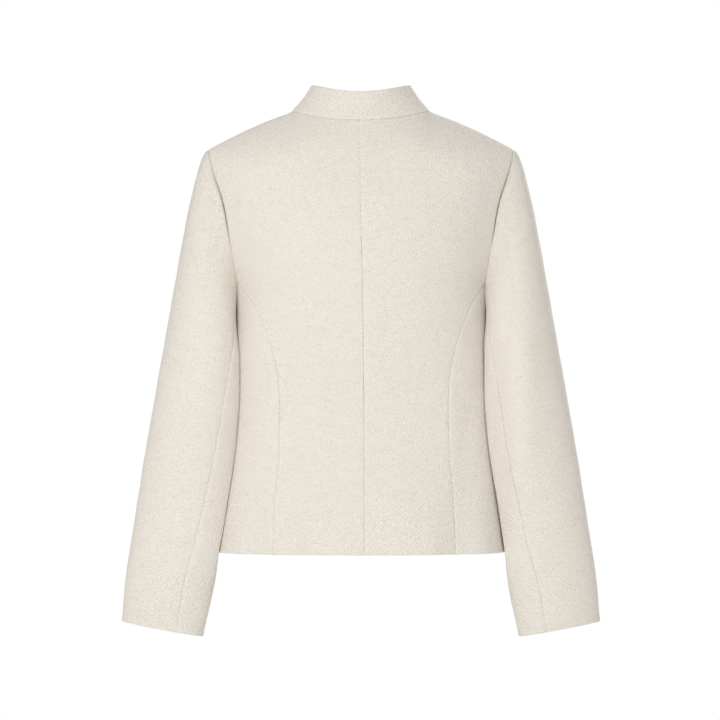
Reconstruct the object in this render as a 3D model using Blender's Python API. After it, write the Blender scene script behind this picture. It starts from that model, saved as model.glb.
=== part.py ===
"""Cropped tweed jacket with a stand collar, filled out as it is worn, with nothing inside it.

Metres, +Z up. The origin lies midway between the two points where the neck meets the shoulders,
the front faces -Y and the wearer's left is +X. Every piece that is cut and sewn on is one closed
wall of cloth, and neighbouring pieces stand a seam gap apart.

The torso is a stack of rounded sections. A place on it is given by a turn, in radians, from the
centre of the back or front (0) to the side (a quarter turn), and by its height.
"""
import math

import bmesh
import bpy
import numpy as np

MM = 0.001
STEP = 1e-6
SIDES = {"left": 1, "right": -1}
BACK = 1
FRONT = -1
QUARTER = math.pi / 2
HALVINGS = 48

CLOTH = 2.0 * MM
COLLAR_CLOTH = 3.0 * MM
SEAM_GAP = 0.3 * MM
FRONT_EDGE_GAP = 1.0 * MM
ARMHOLE_GAP = 0.45 * MM
SLEEVE_CLEARANCE = 0.8 * MM
CONTACT_ROUND = 1.0 * MM
BESIDE_EDGE = 4.0 * MM

HEM_HEIGHT = -538 * MM
NAPE_HEIGHT = -13 * MM
FRONT_NECK_HEIGHT = -75 * MM
NECK_HALF_WIDTH = 85 * MM
SHOULDER_TIP = 188 * MM
SHOULDER_ROUND = {BACK: 65 * MM, FRONT: 48 * MM}
SECTION_POWER = 2.5
FORWARD_BOW = 0.22

DRIFT_ENDS = -200 * MM
DRIFT_FADE = 60 * MM

ARMHOLE_TOP = -46.7 * MM
ARMHOLE_BOTTOM = -240 * MM
ARMHOLE_SKEW = 0.08
ARMHOLE_ROUND = 0.8
ARMHOLE_REACH = {BACK: 50 * MM, FRONT: 54 * MM}
SEAM_MEETS_ARMHOLE = {BACK: -208 * MM, FRONT: -185 * MM}

COLLAR_TOP_HALF_WIDTH = 60.5 * MM
COLLAR_LEAN = {BACK: 8 * MM, FRONT: 7 * MM}
COLLAR_RISE = {BACK: 35 * MM, FRONT: 30 * MM}
COLLAR_RISE_SIDE = 32 * MM
COLLAR_HOLLOW = 2.0 * MM

WIRE_RADIUS = 0.4 * MM
WIRE_SET = 0.7 * MM
BILL_RISE = 1.2 * MM
BILL_START = 0.3 * MM
SHANK_BEND = 3.0 * MM
EYE_REACH = 1.6 * MM
EYE_HALF_WIDTH = 1.9 * MM
EYE_FOOT = 1.3 * MM
HOOK_FOOT = 1.5 * MM
FOOT_OUT = 8.5 * MM
FIRST_HOOK = -95 * MM
HOOK_SPACING = 100 * MM
HOOK_COUNT = 5

NECK_COLUMNS = 6
SHOULDER_COLUMNS = 5
SIDE_COLUMNS = 5
SKIRT_ROWS = 15
YOKE_ROWS = 8
CAP_ROWS = 8
ARM_ROWS = 14
COLLAR_ROWS = 4

TWEED = (0.80, 0.745, 0.655)
HOOK_METAL = (0.55, 0.53, 0.50)


def table(names, *rows):
    """Named columns of lengths, written in millimetres and kept in metres, one row a section."""
    columns = np.array(rows, float).T * MM
    return dict(zip(names.split(), columns))


def through(keys, values):
    """A smooth curve through values at rising keys, level past its ends."""
    slopes = np.gradient(values, keys)

    def curve(place):
        place = np.clip(place, keys[0], keys[-1])
        left = np.clip(np.searchsorted(keys, place) - 1, 0, len(keys) - 2)
        span = keys[left + 1] - keys[left]
        part = (place - keys[left]) / span
        rest = 1 - part
        return (values[left] * rest * rest * (1 + 2 * part)
                + values[left + 1] * part * part * (1 + 2 * rest)
                + slopes[left] * span * part * rest * rest
                - slopes[left + 1] * span * part * part * rest)

    return curve


def column(source, key, name):
    """One column of a table as a smooth curve over its key column."""
    return through(source[key], source[name])


TORSO = table(
    "height back_half_width front_half_width back front",
    (-545, 179.5, 179.5, 121, 119),
    (-480, 173.5, 173.5, 108, 112),
    (-395, 168, 168, 93, 104),
    (-340, 163.5, 163.5, 97, 109),
    (-280, 160, 160, 109, 120),
    (-240, 156.5, 156.5, 115, 123),
    (-212, 155.5, 155.5, 118, 121),
    (-185, 161.5, 163, 118, 115),
    (-151, 167.5, 171.5, 116, 103),
    (-102, 177, 187, 108, 83),
    (-75, 188, 202, 98, 71),
    (-46.7, 203, 225, 86, 61),
    (-13, 215, 240, 66, 46),
    (20, 220, 245, 52, 34),
)
RIDGE = table(
    "out height",
    (0, 55), (20, 42), (40, 29), (60, 17), (75, 7.5), (85, 0), (100, -6), (120, -14),
    (141.5, -23.3), (165, -35), (188, -46.7), (215, -61),
)
CENTRE_DRIFT = table(
    "height shift",
    (-545, -3.8), (-316, -3.2), (-212, -1.8), (-100, 0.6), (0, 1.6),
)
PANEL_SEAM = {
    BACK: table(
        "height out",
        (-545, 111), (-475, 108.4), (-420, 103.8), (-365, 102.5), (-328, 104), (-292, 111),
        (-258, 122.8), (-240, 131), (-222, 141.8),
    ),
    FRONT: table(
        "height out",
        (-545, 100), (-480, 92), (-395, 86), (-320, 88), (-262, 96), (-225, 113), (-203, 133),
    ),
}
FOLDS = {
    BACK: table(
        "out top depth spread",
        (-118, -395, -5, 15), (-157, -370, 9, 19), (-55, -410, 4, 30), (-84, -440, 2, 12),
        (58, -465, -3.5, 13), (88, -430, 3, 18), (132, -410, -3, 18), (152, -400, 4, 16),
    ),
    FRONT: table(
        "out top depth spread",
        (-128, -400, -4, 16), (-92, -420, 4, 20), (-48, -440, -3, 18), (46, -430, -4, 20),
        (84, -410, 5, 22), (126, -395, -5, 17),
    ),
}
BUST = table("out height depth spread rise", (84, -252, 7, 46, 62))
SLEEVE_INNER = table(
    "height out",
    (-660, 196), (-642, 193), (-610, 186), (-580, 179), (-540, 167.5), (-500, 160.5), (-450, 154),
    (-400, 149.5), (-345, 144.5), (-300, 142.5), (-260, 143),
)
SLEEVE_OUTER = table(
    "height out",
    (-640, 295), (-623, 293), (-591, 290), (-561, 286.5), (-521, 280), (-480, 273.5),
    (-431, 265.5), (-382, 257), (-329, 248), (-285, 240), (-240, 232),
)
SLEEVE_BODY = table(
    "height half_depth centre",
    (-650, 31, 8), (-560, 39, 26), (-470, 44, 34), (-390, 48, 38), (-300, 55, 32),
)
CAP_TOP_OUT, CAP_TOP_FALL = 0.9, 0.43
CAP_SIDE_OUT, CAP_SIDE_BACK, CAP_SIDE_FALL = 0.75, 0.55, 0.05
CAP_LOW_DRAW, CAP_LOW_SWELL = 1.3, 1.6
CAP_START_PULL, CAP_END_PULL = 0.21, 0.93
CLEAR_BY = 0.3
SLEEVE_TOP_RING = -300 * MM
CUFF_HEIGHT = -642 * MM
CUFF_TILT = 0.18
HIND_SEAM = through(np.array([0, 0.45, 1, 1.15, 1.35, 1.6, 1.85, 2]),
                    np.radians([132, 137, 136, 129, 123, 114, 110, 111]))
FORE_SEAM = through(np.array([0, 1, 2]), np.radians([244.5, 236, 226]))

torso_half_width = {BACK: column(TORSO, "height", "back_half_width"),
                    FRONT: column(TORSO, "height", "front_half_width")}
torso_depth = {BACK: column(TORSO, "height", "back"), FRONT: column(TORSO, "height", "front")}
ridge_height = column(RIDGE, "out", "height")
centre_drift = column(CENTRE_DRIFT, "height", "shift")
sleeve_inner = column(SLEEVE_INNER, "height", "out")
sleeve_outer = column(SLEEVE_OUTER, "height", "out")
sleeve_half_depth = column(SLEEVE_BODY, "height", "half_depth")
sleeve_centre = column(SLEEVE_BODY, "height", "centre")


def power(value, exponent):
    """A power that keeps the sign of what it raises."""
    return np.sign(value) * np.abs(value) ** exponent


def ramp(value):
    """Rises smoothly from 0 to 1 as the value does."""
    value = np.clip(value, 0, 1)
    return value * value * (3 - 2 * value)


def fold_depth(side, face, out, height):
    """How far the hem's soft flutes stand out of the plain section, growing towards the hem."""
    depth = np.zeros(np.broadcast(out, height).shape)
    rows = FOLDS[face]
    for centre, top, rise, spread in zip(rows["out"], rows["top"], rows["depth"], rows["spread"]):
        growth = ramp((top - height) / (top - HEM_HEIGHT))
        depth = depth + rise * growth * np.exp(-((side * out - centre) / spread) ** 2)
    return depth


def torso_reach(side, face, out, height):
    """Distance of the cloth in front of or behind the side line, at a distance out from the middle."""
    share = np.clip(np.abs(out) / torso_half_width[face](height), 0, 1)
    flat = (1 - share ** SECTION_POWER) ** (1 / SECTION_POWER)
    below = np.clip((ridge_height(np.abs(out)) - height) / SHOULDER_ROUND[face], 0, 1)
    shoulder = np.sqrt(1 - (1 - below) ** 2)
    reach = torso_depth[face](height) + fold_depth(side, face, out, height)
    if face == FRONT:
        for centre, level, depth, spread, rise in zip(*BUST.values()):
            swell = np.exp(-((np.abs(out) - centre) / spread) ** 2 - ((height - level) / rise) ** 2)
            reach = reach + depth * swell
    return reach * flat * shoulder


def torso_point(side, face, turn, height):
    """A place on the cloth's outer face, on the left half; the right half is mirrored afterwards."""
    out = torso_half_width[face](height) * power(np.sin(turn), 2 / SECTION_POWER)
    return np.stack([out, face * torso_reach(side, face, out, height), height + 0 * out], axis=-1)


def turn_at(face, out, height):
    """The turn at which the section at a height reaches a distance out from the middle."""
    share = np.clip(out / torso_half_width[face](height), -1, 1)
    return np.arcsin(power(share, SECTION_POWER / 2))


def armhole_place(angle):
    """Height and reach of the armhole at an angle from its top (0) over the back (a quarter turn)."""
    middle = (ARMHOLE_TOP + ARMHOLE_BOTTOM) / 2
    radius = (ARMHOLE_TOP - ARMHOLE_BOTTOM) / 2
    reach = np.where(np.sin(angle) >= 0, ARMHOLE_REACH[BACK], ARMHOLE_REACH[FRONT])
    height = middle + radius * np.cos(angle)
    level = np.abs(np.sin(angle)) ** ARMHOLE_ROUND
    return height, reach * level * (1 - ARMHOLE_SKEW * np.cos(angle))


def armhole_out(face, angle):
    """Distance out from the middle at which the armhole lies on the torso."""
    height, reach = armhole_place(angle)
    low = np.zeros_like(height)
    high = torso_half_width[face](height)
    for _ in range(HALVINGS):
        middle = (low + high) / 2
        inside = torso_reach(1, face, middle, height) > reach
        low = np.where(inside, middle, low)
        high = np.where(inside, high, middle)
    return (low + high) / 2


def armhole_turn(face, angle):
    """Turn and height of the armhole edge on one face of the torso."""
    height = armhole_place(angle)[0]
    turn = turn_at(face, armhole_out(face, angle), height)
    return np.where(np.abs(angle - math.pi) < 1e-9, QUARTER, turn), height


def meeting_angle(face):
    """Armhole angle, counted from the top on either face, at which the panel seam meets it."""
    middle = (ARMHOLE_TOP + ARMHOLE_BOTTOM) / 2
    radius = (ARMHOLE_TOP - ARMHOLE_BOTTOM) / 2
    return math.acos((SEAM_MEETS_ARMHOLE[face] - middle) / radius)


def own_angle(face, angle):
    """An angle counted down either face, as an angle round the whole armhole."""
    return angle if face == BACK else 2 * math.pi - angle


def yoke_share(part):
    """Rows of the upper panels close up towards the shoulder, where the cloth rounds over."""
    return np.sin(QUARTER * part)


def panel_seam_out(side, face):
    """Distance out of the curved seam between a panel and its side panel, over the height."""
    rows = PANEL_SEAM[face]
    drift = side * centre_drift(rows["height"]) if face == BACK else 0 * rows["height"]
    meeting = armhole_out(face, np.array([own_angle(face, meeting_angle(face))]))
    keys = np.append(rows["height"], SEAM_MEETS_ARMHOLE[face])
    fade = ramp((DRIFT_ENDS - keys[:-1]) / DRIFT_FADE)
    return through(keys, np.append(rows["out"] + drift * fade, meeting))


def skirt_height(part, top):
    """Height of a lower row that runs from the hem (0) to the top of its seam (1)."""
    return HEM_HEIGHT + (top - HEM_HEIGHT) * part


def yoke_part(up):
    """How far up the yoke, above the curved seam, a place up a whole panel lies."""
    split = SKIRT_ROWS / (SKIRT_ROWS + YOKE_ROWS)
    return np.clip((up - split) / (1 - split), 0, 1)


def skirt_part(up):
    """How far up its curved seam a place up a whole panel lies."""
    return np.clip(up * (SKIRT_ROWS + YOKE_ROWS) / SKIRT_ROWS, 0, 1)


def centre_edge(side, face, up):
    """Distance out and height along the centre seam of the back, or the edge of the front."""
    top = NAPE_HEIGHT if face == BACK else FRONT_NECK_HEIGHT
    meeting = SEAM_MEETS_ARMHOLE[face]
    height = skirt_height(skirt_part(up), meeting) + (top - meeting) * yoke_share(yoke_part(up))
    return side * centre_drift(height) * (face == BACK), height


def outer_edge(side, face, up):
    """Distance out and height up the curved seam and the armhole, and the straight way up beside it."""
    meeting = SEAM_MEETS_ARMHOLE[face]
    seam_height = skirt_height(skirt_part(up), meeting)
    seam_out = panel_seam_out(side, face)(seam_height)
    angle = own_angle(face, meeting_angle(face) * (1 - yoke_part(up)))
    height = armhole_place(angle)[0]
    out = armhole_out(face, angle)
    meeting_out = panel_seam_out(side, face)(meeting)
    straight = meeting_out + (SHOULDER_TIP - meeting_out) * (height - meeting) / (ARMHOLE_TOP - meeting)
    below = yoke_part(up) <= 0
    return (np.where(below, seam_out, out), np.where(below, seam_height, height),
            np.where(below, seam_out, straight))


def neckline(face, part):
    """Distance out and height of the neckline, from the centre (0) to the shoulder (1)."""
    out = NECK_HALF_WIDTH * np.sin(QUARTER * part)
    lowest, power_down = (NAPE_HEIGHT, 2) if face == BACK else (FRONT_NECK_HEIGHT, 1.6)
    return out, lowest * np.cos(QUARTER * np.minimum(part, 1)) ** power_down


def top_edge(side, face, across):
    """Distance out and height along the neckline and out along the shoulder seam."""
    split = NECK_COLUMNS / (NECK_COLUMNS + SHOULDER_COLUMNS)
    part = np.clip(across / split, 0, 1)
    out, height = neckline(face, part)
    out = out + side * centre_drift(NAPE_HEIGHT) * (face == BACK) * (1 - part)
    along = np.clip((across - split) / (1 - split), 0, 1)
    shoulder = NECK_HALF_WIDTH + (SHOULDER_TIP - NECK_HALF_WIDTH) * along
    return (np.where(across > split, shoulder, out),
            np.where(across > split, ridge_height(shoulder), height))


def panel_place(side, face, across, up):
    """Outer face of a back or front panel, across from its centre and up from its hem, both 0 to 1."""
    near_out, near_height = centre_edge(side, face, up)
    far_out, far_height, straight_out = outer_edge(side, face, up)
    top_out, top_height = top_edge(side, face, across)
    corner_height = NAPE_HEIGHT if face == BACK else FRONT_NECK_HEIGHT
    corner_out = side * centre_drift(NAPE_HEIGHT) * (face == BACK)
    drawn = yoke_share(yoke_part(up)) ** 2
    out = (near_out * (1 - across) + straight_out * across + (far_out - straight_out) * across ** 3
           + drawn * (top_out - corner_out * (1 - across) - SHOULDER_TIP * across))
    height = (near_height * (1 - across) + far_height * across
              + drawn * (top_height - corner_height * (1 - across) - ARMHOLE_TOP * across))
    return np.stack([out, face * torso_reach(side, face, out, height), height], axis=-1)


def side_place(side, face, across, up):
    """Outer face of a side panel, from its curved seam (0) to the side seam (1)."""
    near_height = skirt_height(up, SEAM_MEETS_ARMHOLE[face])
    near_turn = turn_at(face, panel_seam_out(side, face)(near_height), near_height)
    far_height = skirt_height(up, ARMHOLE_BOTTOM)
    down = meeting_angle(face) + (math.pi - meeting_angle(face)) * across
    top_turn, top_height = armhole_turn(face, own_angle(face, down))
    corner_turn, corner_height = armhole_turn(face, np.array(own_angle(face, meeting_angle(face))))
    drawn = up ** 4
    turn = (near_turn * (1 - across) + QUARTER * across
            + drawn * (top_turn - corner_turn * (1 - across) - QUARTER * across))
    height = (near_height * (1 - across) + far_height * across
              + drawn * (top_height - corner_height * (1 - across) - ARMHOLE_BOTTOM * across))
    return torso_point(side, face, turn, height)


def sleeve_ring(angle, along):
    """The sleeve below its cap, round its own axis, from its upper ring (1) to the cuff (2)."""
    low = SLEEVE_TOP_RING + (CUFF_HEIGHT - SLEEVE_TOP_RING) * (along - 1)
    inner = sleeve_inner(low)
    width = sleeve_outer(low + CUFF_TILT * (sleeve_outer(low) - inner)) - inner
    middle = low + CUFF_TILT * width / 2
    return np.stack([inner + width / 2 * (1 + np.cos(angle)),
                     sleeve_centre(middle) + sleeve_half_depth(middle) * np.sin(angle),
                     middle + CUFF_TILT * width / 2 * np.cos(angle)], axis=-1)


def torso_facing(side, face, out, height):
    """Ways in which the torso's outer face looks, just inside places on it."""
    near = out - 2 * STEP
    slope_out = (torso_reach(side, face, near + STEP, height)
                 - torso_reach(side, face, near - STEP, height)) / (2 * STEP)
    slope_up = (torso_reach(side, face, near, height + STEP)
                - torso_reach(side, face, near, height - STEP)) / (2 * STEP)
    return unit(np.stack([-slope_out, face + 0 * slope_out, -slope_up], axis=-1))


def armhole_edge(angle):
    """Places on the armhole edge of the torso's outer face, and the ways in which the cloth faces."""
    height, reach = armhole_place(angle)
    points = []
    ways = []
    for face in (BACK, FRONT):
        out = armhole_out(face, angle)
        points.append(np.stack([out, face * reach, height], axis=-1))
        ways.append(torso_facing(1, face, out, height))
    behind = (np.sin(angle) >= 0)[..., None]
    return np.where(behind, *points), np.where(behind, *ways)


def unit(vectors):
    """Vectors of length 1."""
    return vectors / np.linalg.norm(vectors, axis=-1, keepdims=True)


def cap_start(angle):
    """Direction in which the sleeve leaves the armhole: out at the shoulder, down at the underarm."""
    top = ((1 + np.cos(angle)) / 2) ** 2
    bottom = ((1 - np.cos(angle)) / 2) ** 2
    level = np.sin(angle) ** 2
    low = np.where(np.sin(angle) > 0, np.clip(-np.cos(angle), 0, 1), 0)
    out = CAP_TOP_OUT * top + CAP_SIDE_OUT * level * (1 - CAP_LOW_DRAW * low)
    back = CAP_SIDE_BACK * level * (1 + CAP_LOW_SWELL * low) * np.sign(np.sin(angle))
    fall = CAP_TOP_FALL * top + CAP_SIDE_FALL * level + bottom
    return unit(np.stack([out, back, -fall], axis=-1))


def torso_side(side, points):
    """How far out the torso reaches beside each of the points."""
    face_out = []
    for face in (BACK, FRONT):
        half_width = torso_half_width[face](points[..., 2])
        near = half_width - BESIDE_EDGE
        fold = np.maximum(fold_depth(side, face, near, points[..., 2]), 0)
        share = np.clip((np.abs(points[..., 1]) - fold) / torso_depth[face](points[..., 2]), 0, 1)
        face_out.append(half_width * (1 - share ** SECTION_POWER) ** (1 / SECTION_POWER))
    return np.where(points[..., 1] >= 0, face_out[0], face_out[1])


def sleeve_place(side, angle, along):
    """Outer face of the sleeve, from the armhole (0) over the cap (1) to the cuff (2)."""
    cap = np.clip(along, 0, 1)[..., None]
    edge, way = armhole_edge(angle)
    leave = cap_start(angle)
    start = edge + ARMHOLE_GAP * unit(leave + way)
    end = sleeve_ring(angle, np.ones_like(along))
    onward = unit(sleeve_ring(angle, np.full_like(along, 1.01)) - end)
    chord = np.linalg.norm(end - start, axis=-1, keepdims=True)
    underneath = (1 - np.cos(angle)) / 2
    early = (CAP_START_PULL + (1 - CAP_START_PULL) * underneath)[..., None] * chord
    late = CAP_END_PULL * chord
    rest = 1 - cap
    curved = (start * rest * rest * (1 + 2 * cap) + end * cap * cap * (1 + 2 * rest)
              + leave * early * cap * rest * rest - onward * late * cap * cap * rest)
    points = np.where(along[..., None] <= 1, curved, sleeve_ring(angle, np.maximum(along, 1)))
    near = ramp(along / CLEAR_BY)
    beside = torso_side(side, points) + ARMHOLE_GAP + (SLEEVE_CLEARANCE - ARMHOLE_GAP) * near
    over = points[..., 0] - beside
    softness = CONTACT_ROUND * near
    pushed = beside + (over + np.sqrt(over * over + softness * softness)) / 2
    below = points[..., 2] < ARMHOLE_BOTTOM + 0 * over
    out = np.where(below, pushed, points[..., 0])
    return np.stack([out, points[..., 1], points[..., 2]], axis=-1)


def facing(surface, across, up, flip):
    """Ways in which a surface faces, found from small steps that stay on it."""
    small = 10 * STEP
    across_back = np.maximum(across - small, across.min())
    across_on = np.minimum(across + small, across.max())
    up_back = np.maximum(up - small, up.min())
    up_on = np.minimum(up + small, up.max())
    along_row = surface(across_on, up) - surface(across_back, up)
    along_column = surface(across, up_on) - surface(across, up_back)
    return flip * unit(np.cross(along_row, along_column))


def pull_in(grids, edge, inside, distance):
    """Draws one edge of a wall's two grids back, square to itself, towards the line inside it."""
    outer = grids[0]
    along = unit(np.gradient(outer[edge], axis=0))
    inward = outer[inside] - outer[edge]
    square = unit(inward - along * np.sum(inward * along, axis=-1, keepdims=True))
    for grid in grids:
        grid[edge] = grid[edge] + distance * square


def seamed(ways, other):
    """Ways in which a wall faces at its seam, turned to a neighbour's where the two nearly agree."""
    agree = np.clip(1.3 * np.sum(ways * other, axis=-1, keepdims=True), 0, 1)
    return unit(ways * (1 - agree) + other * agree)


def cloth_piece(name, outer, inner, side, material):
    """A closed wall between two grids of points, on the left or mirrored to the right."""
    rows, columns = outer.shape[:2]
    points = np.concatenate([outer.reshape(-1, 3), inner.reshape(-1, 3)])
    points[:, 1] -= FORWARD_BOW * points[:, 0] ** 2
    points[:, 0] *= side
    number = np.arange(rows * columns).reshape(rows, columns)
    faces = []
    for row in range(rows - 1):
        for place in range(columns - 1):
            quad = [number[row, place], number[row, place + 1],
                    number[row + 1, place + 1], number[row + 1, place]]
            faces.append(quad)
            faces.append([index + rows * columns for index in reversed(quad)])
    rim = [*number[0, :], *number[1:, -1], *number[-1, -2::-1], *number[-2:0:-1, 0]]
    for here, there in zip(rim, rim[1:] + rim[:1]):
        low, high = sorted((here, there), key=lambda index: points[index, 2])
        faces.append([low, high, high + rows * columns])
        faces.append([low, high + rows * columns, low + rows * columns])

    shape = bmesh.new()
    corners = [shape.verts.new(point) for point in points]
    for face in faces:
        shape.faces.new([corners[index] for index in face])
    bmesh.ops.recalc_face_normals(shape, faces=shape.faces)
    mesh = bpy.data.meshes.new(name)
    shape.to_mesh(mesh)
    shape.free()
    mesh.materials.append(material)
    mesh.shade_smooth()
    mesh.set_sharp_from_angle(angle=math.radians(40))
    piece = bpy.data.objects.new(name, mesh)
    bpy.context.collection.objects.link(piece)
    return piece


def spread(count):
    """Even steps from 0 to 1."""
    return np.linspace(0, 1, count + 1)


def panel_grids(side, face):
    """Outer and inner points of a back or front panel, centre to curved seam, hem to shoulder."""
    across, up = np.meshgrid(spread(NECK_COLUMNS + SHOULDER_COLUMNS), spread(SKIRT_ROWS + YOKE_ROWS))
    outer = panel_place(side, face, across, up)
    inner = outer - CLOTH * torso_facing(side, face, outer[..., 0], outer[..., 2])
    grids = (outer, inner)
    centre_gap = SEAM_GAP if face == BACK else FRONT_EDGE_GAP
    pull_in(grids, np.s_[:, 0], np.s_[:, 1], centre_gap / 2)
    pull_in(grids, np.s_[:, -1], np.s_[:, -2], SEAM_GAP / 2)
    pull_in(grids, np.s_[-1, :], np.s_[-2, :], SEAM_GAP / 2)
    return grids


def side_panel(name, side, face, material):
    """One side panel, from its curved seam to the side seam, hem to underarm."""
    across, up = np.meshgrid(spread(SIDE_COLUMNS), spread(SKIRT_ROWS))
    outer = side_place(side, face, across, up)
    inner = outer - CLOTH * torso_facing(side, face, outer[..., 0], outer[..., 2])
    grids = (outer, inner)
    pull_in(grids, np.s_[:, 0], np.s_[:, 1], SEAM_GAP / 2)
    pull_in(grids, np.s_[:, -1], np.s_[:, -2], SEAM_GAP / 2)
    pull_in(grids, np.s_[-1, :], np.s_[-2, :], SEAM_GAP / 2)
    return cloth_piece(name, outer, inner, side, material)


def sleeve_panel(name, side, seams, middle, half_columns, material):
    """An upper or under sleeve between its two seams, armhole to cuff."""
    across, along = np.meshgrid(spread(2 * half_columns),
                                np.append(spread(CAP_ROWS), 1 + spread(ARM_ROWS)[1:]))
    def surface(over, down):
        first, last = (seam(down) for seam in seams)
        at_armhole = np.where(over < 0.5, middle + (first - middle) * (1 - 2 * over),
                              middle + (last - middle) * (2 * over - 1))
        even = first + (last - first) * over
        share = ramp(down)
        return sleeve_place(side, at_armhole * (1 - share) + even * share, down)
    outer = surface(across, along)
    ways = facing(surface, across, along, -1)
    at_armhole = armhole_edge(middle + np.where(
        across[0] < 0.5, (seams[0](0.0) - middle) * (1 - 2 * across[0]),
        (seams[1](0.0) - middle) * (2 * across[0] - 1)))[1]
    ways[0] = seamed(ways[0], at_armhole)
    inner = outer - CLOTH * ways
    grids = (outer, inner)
    pull_in(grids, np.s_[:, 0], np.s_[:, 1], SEAM_GAP / 2)
    pull_in(grids, np.s_[:, -1], np.s_[:, -2], SEAM_GAP / 2)
    return cloth_piece(name, outer, inner, side, material)


def collar_place(around, up):
    """Outer face of the collar, from the right front edge (-1) over the nape (0) to the left (1)."""
    base = []
    top = []
    for face in (BACK, FRONT):
        part = 2 * np.abs(around) if face == BACK else 2 - 2 * np.abs(around)
        part = np.clip(part, 0, 1)
        out, height = neckline(face, part)
        reach = torso_reach(1, face, out, height)
        shift = centre_drift(NAPE_HEIGHT) * (1 - part) if face == BACK else 0
        way = np.where(around < 0, -1, 1)
        base.append(np.stack([way * out + shift, face * reach, height], axis=-1))
        turn = QUARTER * part
        middle = torso_reach(1, face, 0.0, neckline(face, 0.0)[1]) - COLLAR_LEAN[face]
        rise = COLLAR_RISE_SIDE + (COLLAR_RISE[face] - COLLAR_RISE_SIDE) * np.cos(turn)
        top.append(np.stack([way * COLLAR_TOP_HALF_WIDTH * np.sin(turn) + shift,
                             face * middle * np.cos(turn), height + rise], axis=-1))
    behind = (np.abs(around) <= 0.5)[..., None]
    low = np.where(behind, *base)
    high = np.where(behind, *top)
    rise = up[..., None]
    points = low + (high - low) * rise
    plan = unit(low * np.array([1, 1, 0]))
    return points - COLLAR_HOLLOW * np.sin(math.pi * rise) * plan


def neckline_facing(around):
    """Ways in which the torso's cloth faces at the neckline."""
    ways = []
    for face in (BACK, FRONT):
        part = np.clip(2 * np.abs(around) if face == BACK else 2 - 2 * np.abs(around), 0, 1)
        way = torso_facing(1, face, *neckline(face, part))
        ways.append(way * np.stack([np.where(around < 0, -1, 1), 1 + 0 * part, 1 + 0 * part], axis=-1))
    return np.where((np.abs(around) <= 0.5)[..., None], *ways)


def collar(material):
    """The stand collar, one band round the neck, open at the centre front."""
    around, up = np.meshgrid(np.linspace(-1, 1, 4 * NECK_COLUMNS + 1), spread(COLLAR_ROWS))
    outer = collar_place(around, up)
    ways = facing(collar_place, around, up, -1)
    ways[0] = seamed(ways[0], neckline_facing(around[0]))
    inner = outer - COLLAR_CLOTH * ways
    grids = (outer, inner)
    pull_in(grids, np.s_[:, 0], np.s_[:, 1], FRONT_EDGE_GAP / 2)
    pull_in(grids, np.s_[:, -1], np.s_[:, -2], FRONT_EDGE_GAP / 2)
    pull_in(grids, np.s_[0, :], np.s_[1, :], SEAM_GAP / 2)
    return cloth_piece("collar", outer, inner, 1, material)


def foot_ring(out, up, radius, turns):
    """Three quarters of a ring of wire, the foot that a hook or an eye is sewn down by."""
    return [(out + radius * math.cos(turn), up + radius * math.sin(turn), 0.0) for turn in turns]


def eye_path():
    """The eye's wire, as places out from the front edge, up, and in from where it is seated."""
    turns = np.linspace(-math.pi, QUARTER, 7) + math.pi
    foot = foot_ring(FOOT_OUT, EYE_HALF_WIDTH + EYE_FOOT, EYE_FOOT, turns)
    bend = [(-EYE_REACH + EYE_HALF_WIDTH * (1 - math.cos(turn)), EYE_HALF_WIDTH * math.sin(turn), 0.0)
            for turn in np.linspace(QUARTER, 0, 4)]
    upper = foot + bend
    return upper + [(out, -up, inward) for out, up, inward in reversed(upper[:-1])]


def hook_path():
    """The hook's wire, from its foot up over the eye and back down inside it."""
    turns = np.linspace(-QUARTER, math.pi, 7)
    foot = foot_ring(FOOT_OUT, HOOK_FOOT, HOOK_FOOT, turns[::-1] + math.pi)
    bill = [(BILL_START - BILL_RISE / 2 * math.sin(turn), 0.0, BILL_RISE / 2 * (1 + math.cos(turn)))
            for turn in np.linspace(0, math.pi, 6)]
    return foot + [(SHANK_BEND + BILL_RISE, 0.0, 0.0), (SHANK_BEND, 0.0, BILL_RISE)] + bill


def wire_piece(name, side, path, height, material):
    """A bent wire seated on the inside of a front, beside its edge."""
    inner = panel_grids(side, FRONT)[1]
    edge, beside = (np.array([np.interp(height + rise, inner[:, number, 2], inner[:, number, 1])
                              for rise in (0, STEP)]) for number in (0, 1))
    slope = (edge[1] - edge[0]) / STEP
    upward = unit(np.array([0, slope, 1]))
    inward = unit(np.array([0, 1, -slope]))
    lean = (beside[0] - edge[0]) / (inner[0, 1, 0] - inner[0, 0, 0])

    curve = bpy.data.curves.new(name, "CURVE")
    curve.dimensions = "3D"
    curve.bevel_depth = WIRE_RADIUS
    curve.bevel_resolution = 2
    curve.use_fill_caps = True
    spline = curve.splines.new("POLY")
    spline.points.add(len(path) - 1)
    for point, (out, up, deep) in zip(spline.points, path):
        start = np.array([side * out, edge[0] + lean * max(out, 0.0), height])
        point.co = (*(start + up * upward + (deep + WIRE_SET) * inward), 1)
    curve.materials.append(material)
    piece = bpy.data.objects.new(name, curve)
    bpy.context.collection.objects.link(piece)
    return piece


def plain_material(name, colour, roughness, metallic=0.0):
    """A material of one colour for one piece."""
    material = bpy.data.materials.new(name)
    material.use_nodes = True
    shader = material.node_tree.nodes["Principled BSDF"]
    shader.inputs["Base Color"].default_value = (*colour, 1)
    shader.inputs["Roughness"].default_value = roughness
    shader.inputs["Metallic"].default_value = metallic
    return material


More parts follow.
